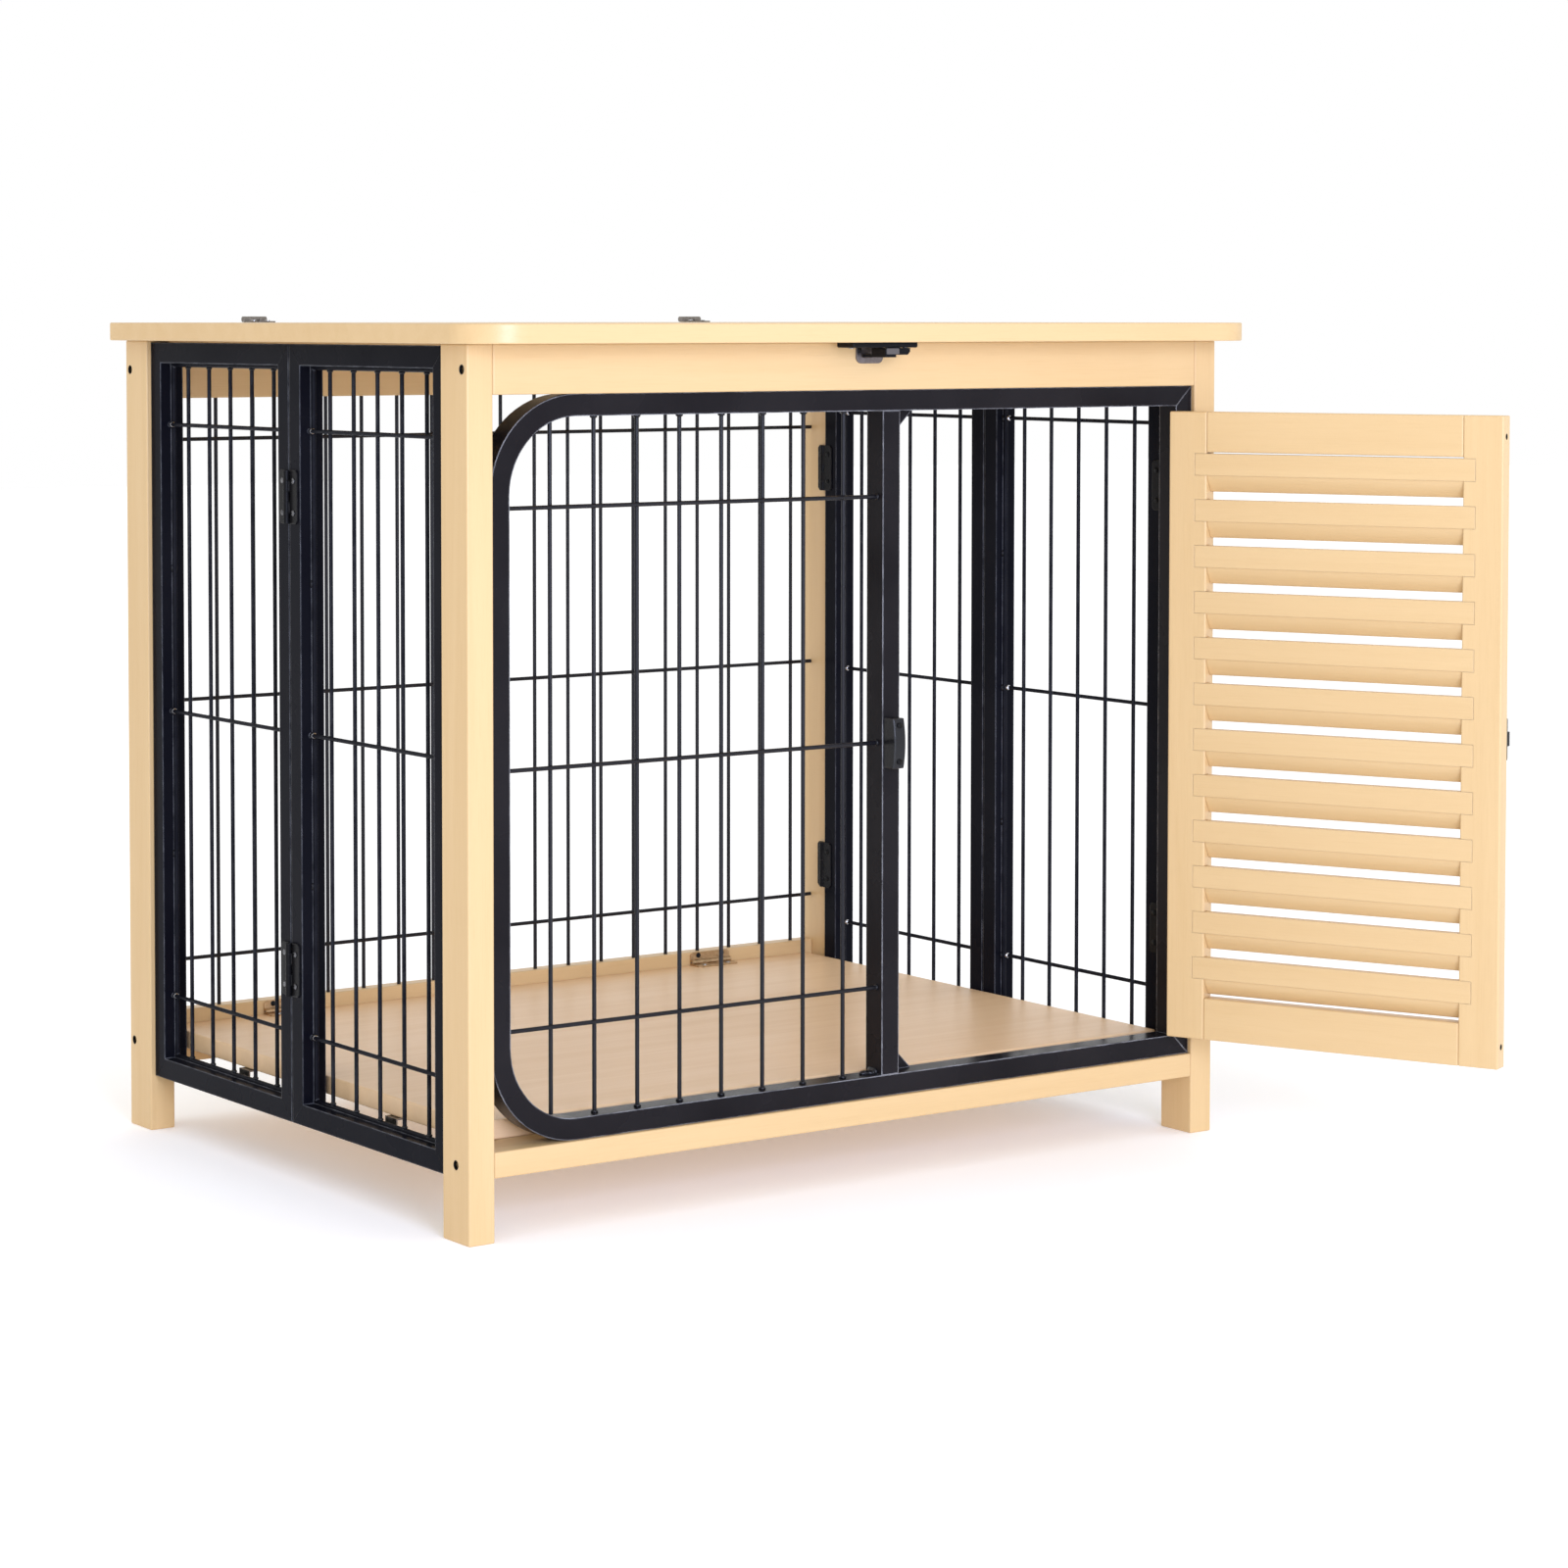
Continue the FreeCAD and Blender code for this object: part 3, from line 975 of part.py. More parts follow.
rail_screw = new_body("Door_Rail_Screw_Master")
rod(rail_screw, "door_screw_radius", "stile_width - door_bore_depth + door_screw_grip", ("0", "0", "0"))
rod(rail_screw, "door_bore_radius - fit_gap", "screw_head_height * 2", ("0", "0", "-screw_head_height * 2"))
for level in DOOR_SCREW_LEVELS:
    door_screws.append((rail_screw, ALONG_X, (f"{DOOR_START} + door_bore_depth", DOOR_SCREW_Y, level)))
    door_screws.append((rail_screw, AGAINST_X, (f"{DOOR_FREE} - door_bore_depth", DOOR_SCREW_Y, level)))

# The door latch: a plate with a raised case, in which the bolt slides towards the free edge.
PLATE_START = f"({DOOR_FREE} - latch_edge_gap - latch_plate_width)"
PLATE_FACE = "(-hinge_stand + latch_plate_thickness)"
BOLT_LOW = f"({PLATE_FACE} + slide_gap)"
CASE_DEPTH = "(door_bolt_thickness + 2 * slide_gap + bolt_case_wall)"
CASE_HEIGHT = "(door_bolt_height + 2 * slide_gap + 2 * bolt_case_wall)"
case = new_body("Door_Latch_Base")
block(case, ("latch_plate_width", "latch_plate_thickness", "latch_plate_height"),
      (PLATE_START, "-hinge_stand", "latch_height - latch_plate_height / 2"))
ease(case, "leaf_chamfer", lambda edge: runs_along(edge, "y"))
block(case, ("latch_plate_width", CASE_DEPTH, CASE_HEIGHT),
      (PLATE_START, PLATE_FACE, f"latch_height - {CASE_HEIGHT} / 2"))
block(case, ("latch_plate_width", "door_bolt_thickness + 2 * slide_gap", "door_bolt_height + 2 * slide_gap"),
      (PLATE_START, PLATE_FACE, "latch_height - door_bolt_height / 2 - slide_gap"), cut=True)
KNOB_START = f"({PLATE_START} + bolt_case_wall * 2)"
KNOB = "(door_bolt_height / 2)"
block(case, (f"{KNOB} + door_bolt_travel + 2 * slide_gap", CASE_DEPTH, f"{KNOB} + 2 * slide_gap"),
      (f"{KNOB_START} - slide_gap", f"{PLATE_FACE} + door_bolt_thickness",
       f"latch_height - {KNOB} / 2 - slide_gap"), cut=True)
plate_screw = screw_master("Plate_Screw_Master", "latch_plate_thickness")
for side in ("-", "+"):
    spot = (f"{PLATE_START} + latch_plate_width / 2", PLATE_FACE,
            f"latch_height {side} latch_plate_height * 0.37")
    rod(case, "screw_radius + fit_gap", "latch_plate_thickness", spot, AGAINST_Y, cut=True)
    door_screws.append((plate_screw, AGAINST_Y, spot))
hang(keep(case, "Door_Latch_Base"))
hang(copies("Door_Screws", door_screws))

door_bolt = new_body("Door_Latch_Bolt")
block(door_bolt, ("latch_plate_width", "door_bolt_thickness", "door_bolt_height"),
      (PLATE_START, BOLT_LOW, "latch_height - door_bolt_height / 2"))
block(door_bolt, (KNOB, f"{CASE_DEPTH} + {KNOB} / 2 - door_bolt_thickness", KNOB),
      (KNOB_START, f"{BOLT_LOW} + door_bolt_thickness", f"latch_height - {KNOB} / 2"))
hang(keep(door_bolt, "Door_Latch_Bolt"))

# The keeper stands on the centre post's face, with a pocket open towards the door for the bolt.
KEEPER_LEFT = f"({CENTRE_POST_LEFT} + keeper_offset)"
KEEPER_FRONT = f"({STEEL_FRONT} - keeper_depth)"
POCKET_FRONT = f"({PIN_Y} - {BOLT_LOW} - door_bolt_thickness - 3 * slide_gap)"
keeper = new_body("Door_Keeper")
block(keeper, ("keeper_width", "keeper_depth", "keeper_height"),
      (KEEPER_LEFT, KEEPER_FRONT, "latch_height - keeper_height / 2"))
ease(keeper, "leaf_chamfer",
     lambda edge: edge.CenterOfMass.y < -VALUES["depth"] / 2 + VALUES["frame_setback"] - 1)
block(keeper, ("keeper_width", "door_bolt_thickness + 6 * slide_gap", "door_bolt_height + 6 * slide_gap"),
      (f"{KEEPER_LEFT} + keeper_wall", POCKET_FRONT,
       "latch_height - door_bolt_height / 2 - 3 * slide_gap"), cut=True)
keeper_screw = screw_master("Keeper_Screw_Master", "keeper_depth - screw_head_height")
for side in ("-", "+"):
    across = f"{KEEPER_LEFT} + keeper_width / 2"
    level = f"latch_height {side} keeper_height * 0.36"
    mouth = (across, KEEPER_FRONT, level)
    rod(keeper, "screw_head_radius + fit_gap", "screw_head_height", mouth, ALONG_Y, cut=True)
    rod(keeper, "screw_radius + fit_gap", "keeper_depth", mouth, ALONG_Y, cut=True)
    plate_screws.append((keeper_screw, ALONG_Y, (across, f"{KEEPER_FRONT} + screw_head_height", level)))
keep(keeper, "Door_Keeper")
copies("Frame_Hinge_Screws", plate_screws)


# ---------------------------------------------------------------------------------------------------
# Checks, then one file for each sub-part
# ---------------------------------------------------------------------------------------------------
doc.recompute()
for item in doc.Objects:
    if "Invalid" in item.State or "Error" in item.State:
        raise RuntimeError(f"{item.Label} did not compute: {item.State}")
for item in subparts:
    if item.Shape.isNull() or not item.Shape.isValid():
        raise RuntimeError(f"{item.Label} has no valid shape")
os.makedirs("parts", exist_ok=True)
for item in subparts:
    item.Shape.exportStep(f"parts/{item.Label}.step")
print(len(subparts), "sub-parts written")
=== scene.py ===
import json
import math

import bmesh
import bpy
from mathutils import Matrix, Vector


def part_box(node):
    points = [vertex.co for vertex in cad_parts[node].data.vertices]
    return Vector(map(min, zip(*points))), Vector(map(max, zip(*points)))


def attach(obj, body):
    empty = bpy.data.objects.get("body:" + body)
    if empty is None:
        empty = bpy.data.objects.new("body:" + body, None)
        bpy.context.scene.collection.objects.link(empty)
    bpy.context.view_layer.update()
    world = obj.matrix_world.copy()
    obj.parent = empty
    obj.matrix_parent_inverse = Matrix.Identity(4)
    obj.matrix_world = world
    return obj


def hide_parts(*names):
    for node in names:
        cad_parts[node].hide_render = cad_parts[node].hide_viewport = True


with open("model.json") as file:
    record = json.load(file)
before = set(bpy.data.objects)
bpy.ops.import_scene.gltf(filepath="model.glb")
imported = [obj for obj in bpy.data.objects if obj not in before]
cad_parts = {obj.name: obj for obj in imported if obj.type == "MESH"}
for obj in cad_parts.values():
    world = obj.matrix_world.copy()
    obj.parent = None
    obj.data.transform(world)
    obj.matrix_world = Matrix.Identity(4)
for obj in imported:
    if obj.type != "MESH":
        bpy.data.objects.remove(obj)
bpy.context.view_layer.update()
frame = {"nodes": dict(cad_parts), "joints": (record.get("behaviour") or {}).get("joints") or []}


# Camera: a long lens at the height of the lid, well to the crate's left, so that the left side shows
# narrow and the front wide. It looks nearly level, so the posts stay upright.
camera = bpy.data.objects.new("Camera", bpy.data.cameras.new("Camera"))
bpy.context.scene.collection.objects.link(camera)
bpy.context.scene.camera = camera
camera.location = (-2.2481, -3.2798, 0.8234)
camera.rotation_euler = (math.radians(87.317), 0, math.radians(-34.976))
camera.data.sensor_width = 36
camera.data.lens = 90.414
camera.data.shift_x = 0.05
camera.data.shift_y = -0.18


# Studio: a pale seamless floor, a white room all round, one wide cool lamp from the front that makes
# the front and the open door brighter than the left side, and two weak ones for the right and the lid.
DAYLIGHT = (0.86, 0.99, 1.42)


def soft_lamp(name, place, aim, width, power):
    """A square lamp that looks from its place at a point."""
    lamp = bpy.data.objects.new(name, bpy.data.lights.new(name, "AREA"))
    bpy.context.scene.collection.objects.link(lamp)
    lamp.location = place
    lamp.rotation_euler = (Vector(aim) - Vector(place)).to_track_quat("-Z", "Y").to_euler()
    lamp.data.size = width
    lamp.data.energy = power
    lamp.data.color = DAYLIGHT


soft_lamp("Lamp_Front", place=(-1.1, -3.85, 1.2), aim=(0.15, 0.0, 0.4), width=1.6, power=92)
soft_lamp("Lamp_Right", place=(2.6, -3.9, 1.25), aim=(0.0, 0.0, 0.45), width=2.3, power=4)
soft_lamp("Lamp_Above", place=(0.4, -1.2, 4.2), aim=(0.0, 0.0, 0.4), width=2.4, power=1)

room = bpy.data.worlds.new("White_Room")
room.use_nodes = True
room.node_tree.nodes["Background"].inputs["Color"].default_value = (1.0, 1.0, 1.0, 1.0)
room.node_tree.nodes["Background"].inputs["Strength"].default_value = 1.0
bpy.context.scene.world = room
bpy.context.scene.view_settings.view_transform = "Standard"

STUDIO_HALF_WIDTH = 14
floor_paint = bpy.data.materials.new("Floor_Paint")
floor_paint.use_nodes = True
floor_shader = floor_paint.node_tree.nodes["Principled BSDF"]
floor_shader.inputs["Base Color"].default_value = (0.97, 0.97, 0.97, 1)
floor_shader.inputs["Roughness"].default_value = 0.7
floor_shader.inputs["Emission Color"].default_value = (1, 1, 1, 1)
floor_shader.inputs["Emission Strength"].default_value = 0.16
floor_mesh = bmesh.new()
bmesh.ops.create_grid(floor_mesh, x_segments=1, y_segments=1, size=STUDIO_HALF_WIDTH)
floor_data = bpy.data.meshes.new("Studio_Floor")
floor_mesh.to_mesh(floor_data)
floor_mesh.free()
floor_data.materials.append(floor_paint)
studio_floor = bpy.data.objects.new("Studio_Floor", floor_data)
bpy.context.scene.collection.objects.link(studio_floor)


# Timber: posts, apron, rails, lid and louvred door are planed softwood with a satin cream lacquer. The
# grain shows faintly along each piece, the pores dent the lacquer, and a painted highlight makes the edges
# pale.
def node_group(name, inputs, outputs):
    """A shader group with named sockets; gives the group and its two end nodes."""
    group = bpy.data.node_groups.new(name, "ShaderNodeTree")
    for label, kind, value in inputs:
        group.interface.new_socket(label, in_out="INPUT", socket_type=kind).default_value = value
    for label, kind in outputs:
        group.interface.new_socket(label, in_out="OUTPUT", socket_type=kind)
    return group, group.nodes.new("NodeGroupInput"), group.nodes.new("NodeGroupOutput")


def noise(tree, vector, stretch, detail, distortion=0.0):
    """Noise on coordinates that are stretched along each axis; gives its value, from 0 to 1."""
    scaled = tree.nodes.new("ShaderNodeVectorMath")
    scaled.operation = "MULTIPLY"
    scaled.inputs[1].default_value = stretch
    tree.links.new(vector, scaled.inputs[0])
    texture = tree.nodes.new("ShaderNodeTexNoise")
    texture.inputs["Scale"].default_value = 1
    texture.inputs["Detail"].default_value = detail
    texture.inputs["Distortion"].default_value = distortion
    tree.links.new(scaled.outputs[0], texture.inputs["Vector"])
    return texture.outputs["Fac"]


def remap(tree, value, low, high, to_low, to_high):
    """Carry a value from one range to another, held inside it."""
    node = tree.nodes.new("ShaderNodeMapRange")
    for socket, number in zip(("From Min", "From Max", "To Min", "To Max"), (low, high, to_low, to_high)):
        node.inputs[socket].default_value = number
    tree.links.new(value, node.inputs["Value"])
    return node.outputs["Result"]


def combine(tree, operation, first, second):
    """One step of arithmetic on two values; either may be a plain number."""
    node = tree.nodes.new("ShaderNodeMath")
    node.operation = operation
    for socket, value in zip(node.inputs, (first, second)):
        if isinstance(value, (int, float)):
            socket.default_value = value
        else:
            tree.links.new(value, socket)
    return node.outputs[0]


def mix_colour(tree, factor, first, second):
    """Blend two colours, each a socket or a plain colour."""
    node = tree.nodes.new("ShaderNodeMix")
    node.data_type = "RGBA"
    tree.links.new(factor, node.inputs["Factor"])
    for socket, value in ((node.inputs[6], first), (node.inputs[7], second)):
        if isinstance(value, tuple):
            socket.default_value = (*value, 1)
        else:
            tree.links.new(value, socket)
    return node.outputs[2]


# How many streaks, pores and pale clouds fit in a metre: along the board, and twice across it.
STREAKS_PER_METRE = (2.2, 55, 55)
PORES_PER_METRE = (22, 900, 900)
CLOUDS_PER_METRE = (3, 5, 5)
GRAIN_ROUGHNESS = 0.12
long_grain, grain_in, grain_out = node_group(
    "Long_Grain",
    [("Vector", "NodeSocketVector", (0, 0, 0)), ("Pale", "NodeSocketColor", (1, 1, 1, 1)),
     ("Dark", "NodeSocketColor", (0, 0, 0, 1)), ("Contrast", "NodeSocketFloat", 1.0),
     ("Gloss", "NodeSocketFloat", 0.4)],
    [("Color", "NodeSocketColor"), ("Roughness", "NodeSocketFloat"), ("Height", "NodeSocketFloat")])
streaks = noise(long_grain, grain_in.outputs["Vector"], STREAKS_PER_METRE, detail=5, distortion=0.6)
pores = noise(long_grain, grain_in.outputs["Vector"], PORES_PER_METRE, detail=3)
clouds = noise(long_grain, grain_in.outputs["Vector"], CLOUDS_PER_METRE, detail=3)
streak_part = remap(long_grain, streaks, low=0.35, high=0.68, to_low=0.0, to_high=0.55)
pore_part = remap(long_grain, pores, low=0.50, high=0.72, to_low=0.0, to_high=0.45)
cloud_part = remap(long_grain, clouds, low=0.3, high=0.7, to_low=-0.12, to_high=0.22)
grain_depth = combine(long_grain, "ADD", combine(long_grain, "ADD", streak_part, pore_part), cloud_part)
grain_share = combine(long_grain, "MULTIPLY", grain_depth, grain_in.outputs["Contrast"])
long_grain.links.new(
    mix_colour(long_grain, grain_share, grain_in.outputs["Pale"], grain_in.outputs["Dark"]),
    grain_out.inputs["Color"])
long_grain.links.new(
    combine(long_grain, "ADD", grain_in.outputs["Gloss"],
            combine(long_grain, "MULTIPLY", grain_depth, GRAIN_ROUGHNESS)),
    grain_out.inputs["Roughness"])
long_grain.links.new(
    combine(long_grain, "SUBTRACT", 1.0, combine(long_grain, "ADD", pore_part, streak_part)),
    grain_out.inputs["Height"])

# The rounded normal leaves the flat one only along an arris, and the mask there paints a highlight.
# Hands rub the coat there in patches, so the painted highlight is broken up.
RUBS_PER_METRE = (60, 60, 60)
arris_highlight_and_wear, edge_in, edge_out = node_group(
    "Arris_Highlight_And_Wear",
    [("Vector", "NodeSocketVector", (0, 0, 0)), ("Radius", "NodeSocketFloat", 0.0015)],
    [("Mask", "NodeSocketFloat"), ("Normal", "NodeSocketVector")])
rounded = arris_highlight_and_wear.nodes.new("ShaderNodeBevel")
rounded.samples = 4
arris_highlight_and_wear.links.new(edge_in.outputs["Radius"], rounded.inputs["Radius"])
surface = arris_highlight_and_wear.nodes.new("ShaderNodeNewGeometry")
facing = arris_highlight_and_wear.nodes.new("ShaderNodeVectorMath")
facing.operation = "DOT_PRODUCT"
arris_highlight_and_wear.links.new(rounded.outputs["Normal"], facing.inputs[0])
arris_highlight_and_wear.links.new(surface.outputs["Normal"], facing.inputs[1])
bend = remap(arris_highlight_and_wear, facing.outputs["Value"], low=0.985, high=0.90, to_low=0.0, to_high=1.0)
patches = noise(arris_highlight_and_wear, edge_in.outputs["Vector"], RUBS_PER_METRE, detail=4)
rubbed = remap(arris_highlight_and_wear, patches, low=0.35, high=0.62, to_low=0.35, to_high=1.0)
arris_highlight_and_wear.links.new(combine(arris_highlight_and_wear, "MULTIPLY", bend, rubbed), edge_out.inputs["Mask"])
arris_highlight_and_wear.links.new(rounded.outputs["Normal"], edge_out.inputs["Normal"])


def blank_material(name):
    """A new material; gives the material, its node tree and its shader."""
    material = bpy.data.materials.new(name)
    material.use_nodes = True
    tree = material.node_tree
    return material, tree, tree.nodes["Principled BSDF"]


def piece_coordinates(tree, turn=(0, 0, 0), shift=(0, 0, 0)):
    """Object coordinates, turned so that a pattern's X runs along the piece."""
    coordinates = tree.nodes.new("ShaderNodeTexCoord")
    mapping = tree.nodes.new("ShaderNodeMapping")
    mapping.inputs["Rotation"].default_value = turn
    mapping.inputs["Location"].default_value = shift
    tree.links.new(coordinates.outputs["Object"], mapping.inputs["Vector"])
    return mapping.outputs["Vector"]


def place_group(tree, group, vector, **values):
    """Put a group in a material with this material's own values."""
    node = tree.nodes.new("ShaderNodeGroup")
    node.node_tree = group
    tree.links.new(vector, node.inputs["Vector"])
    for label, value in values.items():
        node.inputs[label].default_value = value
    return node


def bump_from(tree, height, edge, shader, strength, distance):
    """A dent pattern over softly rounded edges, on the shader's normal."""
    bump = tree.nodes.new("ShaderNodeBump")
    tree.links.new(edge.outputs["Normal"], bump.inputs["Normal"])
    bump.inputs["Strength"].default_value = strength
    bump.inputs["Distance"].default_value = distance
    tree.links.new(height, bump.inputs["Height"])
    tree.links.new(bump.outputs["Normal"], shader.inputs["Normal"])


CREAM_PALE = (0.655, 0.448, 0.213, 1)
CREAM_DARK = (0.578, 0.370, 0.156, 1)
CREAM_EDGE_HIGHLIGHT = (0.78, 0.57, 0.31)
GRAIN_ALONG = {"x": (0, 0, 0), "z": (0, math.radians(90), 0)}
TIMBER_ARRIS_RADIUS = 0.0014
EDGE_HIGHLIGHT_SHARE = 0.5
GRAIN_SHIFT = (0.37, 0.61, 0.23)


def lacquered_timber(name, turn, number, contrast=0.55, pale=CREAM_PALE, dark=CREAM_DARK):
    """Cream lacquer over grain; the number moves the grain, so that no two boards are alike."""
    material, tree, shader = blank_material(name)
    along = piece_coordinates(tree, turn, [step * number for step in GRAIN_SHIFT])
    grain = place_group(tree, long_grain, along, Pale=pale, Dark=dark, Contrast=contrast, Gloss=0.36)
    edge = place_group(tree, arris_highlight_and_wear, along, Radius=TIMBER_ARRIS_RADIUS)
    # Painted highlight: the arrises are mixed towards a paler cream.
    painted_edge_highlight = combine(tree, "MULTIPLY", edge.outputs["Mask"], EDGE_HIGHLIGHT_SHARE)
    colour = mix_colour(tree, painted_edge_highlight, grain.outputs["Color"], CREAM_EDGE_HIGHLIGHT)
    tree.links.new(colour, shader.inputs["Base Color"])
    tree.links.new(grain.outputs["Roughness"], shader.inputs["Roughness"])
    shader.inputs["Coat Weight"].default_value = 0.12
    shader.inputs["Coat Roughness"].default_value = 0.3
    bump_from(tree, grain.outputs["Height"], edge, shader, strength=0.25, distance=0.0003)
    return material


def give(node, material):
    """Put a material on a CAD node."""
    frame["nodes"][node].data.materials[0] = material


POSTS = ("Post_Front_Left", "Post_Front_Right", "Post_Rear_Left", "Post_Rear_Right")
CROSS_BOARDS = ("Front_Apron", "Front_Bottom_Rail", "Rear_Top_Rail", "Rear_Bottom_Rail", "Floor_Ledge")
for number, post in enumerate(POSTS, start=1):
    give(post, lacquered_timber(post + "_Timber", GRAIN_ALONG["z"], number))
for number, board in enumerate(CROSS_BOARDS, start=6):
    give(board, lacquered_timber(board + "_Timber", GRAIN_ALONG["x"], number))


# Lid: one wide glued board with the same lacquer, rounded at its two front corners. Its grain runs
# along the front.
give("Lid_Board", lacquered_timber("Lid_Timber", GRAIN_ALONG["x"], number=12, contrast=0.5))


# Floor: a veneered board, pinker and paler than the lacquered timber, with a clear grain from side
# to side. It lies on the ledge, the clips and its two hinges.
FLOOR_PALE = (0.84, 0.580, 0.335, 1)
FLOOR_DARK = (0.70, 0.455, 0.228, 1)
give("Floor_Board", lacquered_timber(
    "Floor_Veneer", GRAIN_ALONG["x"], number=14, contrast=0.6, pale=FLOOR_PALE, dark=FLOOR_DARK))


# Door: two stiles, two rails and twelve louvre slats let into the stiles, glued and screwed. It stands
# open on its pins, so its grain is turned by the angle that it is open.
door_hinge = next(joint for joint in frame["joints"] if joint["name"] == "door_hinge")
door_pin = Vector(door_hinge["pos_m"])
door_turn = math.radians(180 - door_hinge["range_deg"][0])
door_place = Matrix.Translation((door_pin.x, door_pin.y, 0)) @ Matrix.Rotation(door_turn, 4, "Z")
DOOR_SLATS = tuple(f"Door_Slat_{number:02d}" for number in range(1, 13))
for number, stile in enumerate(("Door_Hinge_Stile", "Door_Free_Stile"), start=16):
    give(stile, lacquered_timber(stile + "_Timber", GRAIN_ALONG["z"], number))
for number, board in enumerate(("Door_Top_Rail", "Door_Bottom_Rail") + DOOR_SLATS, start=19):
    give(board, lacquered_timber(board + "_Timber", (0, 0, -door_turn), number, contrast=0.45))


# Steel frames: rolled square tube, cut, bent, welded and powder coated black. The coat has a fine
# orange-peel surface and hangs a little unevenly, and its arrises carry a painted highlight.
PEEL_PER_METRE = (700, 700, 700)
DRIFT_PER_METRE = (9, 9, 9)
SPECKS_PER_METRE = (2600, 2600, 2600)
SPECK_HEIGHT = 0.3
powder_coat, coat_in, coat_out = node_group(
    "Powder_Coat",
    [("Vector", "NodeSocketVector", (0, 0, 0)), ("Gloss", "NodeSocketFloat", 0.35)],
    [("Tone", "NodeSocketFloat"), ("Roughness", "NodeSocketFloat"), ("Height", "NodeSocketFloat")])
peel = noise(powder_coat, coat_in.outputs["Vector"], PEEL_PER_METRE, detail=2)
drift = noise(powder_coat, coat_in.outputs["Vector"], DRIFT_PER_METRE, detail=4)
specks = noise(powder_coat, coat_in.outputs["Vector"], SPECKS_PER_METRE, detail=1)
powder_coat.links.new(
    remap(powder_coat, drift, low=0.3, high=0.7, to_low=0.0, to_high=1.0), coat_out.inputs["Tone"])
powder_coat.links.new(
    combine(powder_coat, "ADD", coat_in.outputs["Gloss"],
            remap(powder_coat, drift, low=0.3, high=0.7, to_low=-0.05, to_high=0.09)),
    coat_out.inputs["Roughness"])
powder_coat.links.new(
    combine(powder_coat, "ADD", peel, combine(powder_coat, "MULTIPLY", specks, SPECK_HEIGHT)),
    coat_out.inputs["Height"])


STEEL_ARRIS_RADIUS = 0.0018
ARRIS_HIGHLIGHT_SHARE = 0.6


def coated_steel(name, deep, thin, arris_highlight, gloss, peel_strength=0.2, sheen=0.09):
    """Black paint on steel: deep where it is thick, thin in patches, with a painted highlight along the
    arrises.
    """
    material, tree, shader = blank_material(name)
    vector = piece_coordinates(tree)
    coat = place_group(tree, powder_coat, vector, Gloss=gloss)
    edge = place_group(tree, arris_highlight_and_wear, vector, Radius=STEEL_ARRIS_RADIUS)
    body_colour = mix_colour(tree, coat.outputs["Tone"], deep, thin)
    # Painted highlight: the arrises are mixed towards the arris colour.
    arris_highlight_share = combine(tree, "MULTIPLY", edge.outputs["Mask"], ARRIS_HIGHLIGHT_SHARE)
    tree.links.new(mix_colour(tree, arris_highlight_share, body_colour, arris_highlight), shader.inputs["Base Color"])
    tree.links.new(coat.outputs["Roughness"], shader.inputs["Roughness"])
    shader.inputs["Specular IOR Level"].default_value = sheen
    bump_from(tree, coat.outputs["Height"], edge, shader, strength=peel_strength, distance=0.0001)
    return material


# Painted light: the front frame's coat is a lighter, warmer copy of the panels' coat, as if lit from the
# floor, with a bright painted highlight on its arrises.
lit_tube_coat = coated_steel(
    "Tube_Coat_Painted_Light", deep=(0.0065, 0.0053, 0.0066), thin=(0.013, 0.0112, 0.0125), arris_highlight=(0.75, 0.75, 0.78),
    gloss=0.24)
for tube in ("Bent_Tube", "Right_Tube", "Centre_Post", "Gussets"):
    give("Front_Frame_" + tube, lit_tube_coat)
# Painted shade: the side panels get a darker, bluer copy of the same coat, with a fainter painted highlight
# on the arrises.
shaded_panel_coat = coated_steel(
    "Panel_Coat_Painted_Shade", deep=(0.0030, 0.0032, 0.0064), thin=(0.007, 0.0072, 0.0105), arris_highlight=(0.30, 0.31, 0.34),
    gloss=0.24, sheen=0.03)
for panel in ("Left_Front", "Left_Rear", "Right_Front", "Right_Rear"):
    give("Side_Panel_" + panel, shaded_panel_coat)


# Wire grids: 4 mm drawn wire, upright wires with level wires across them, welded at every crossing
# and at the tubes, then coated with the frames. The coat is smoother and shinier than on the tube.
wire_coat = coated_steel(
    "Wire_Coat", deep=(0.004, 0.004, 0.006), thin=(0.009, 0.0085, 0.011), arris_highlight=(0.05, 0.048, 0.055),
    gloss=0.28, peel_strength=0.1, sheen=0.24)
for grid in ("Front_Grid", "Rear_Grid"):
    give(grid, wire_coat)


# Hinges: pressed black leaves, each rolled into a barrel round a steel pin. The lid's hinges and the
# clips are zinc-plated steel that has gone brownish grey, the floor's leaves have a thin brass plating.
leaf_coat = coated_steel(
    "Leaf_Coat", deep=(0.004, 0.004, 0.005), thin=(0.008, 0.0075, 0.008), arris_highlight=(0.05, 0.048, 0.045),
    gloss=0.24)
for leaf in ("Mid_Hinge_Leaves", "Corner_Hinge_Leaves", "Door_Hinge_Door_Leaves",
             "Door_Hinge_Tube_Leaves", "Side_Hinge_Pins"):
    give(leaf, leaf_coat)

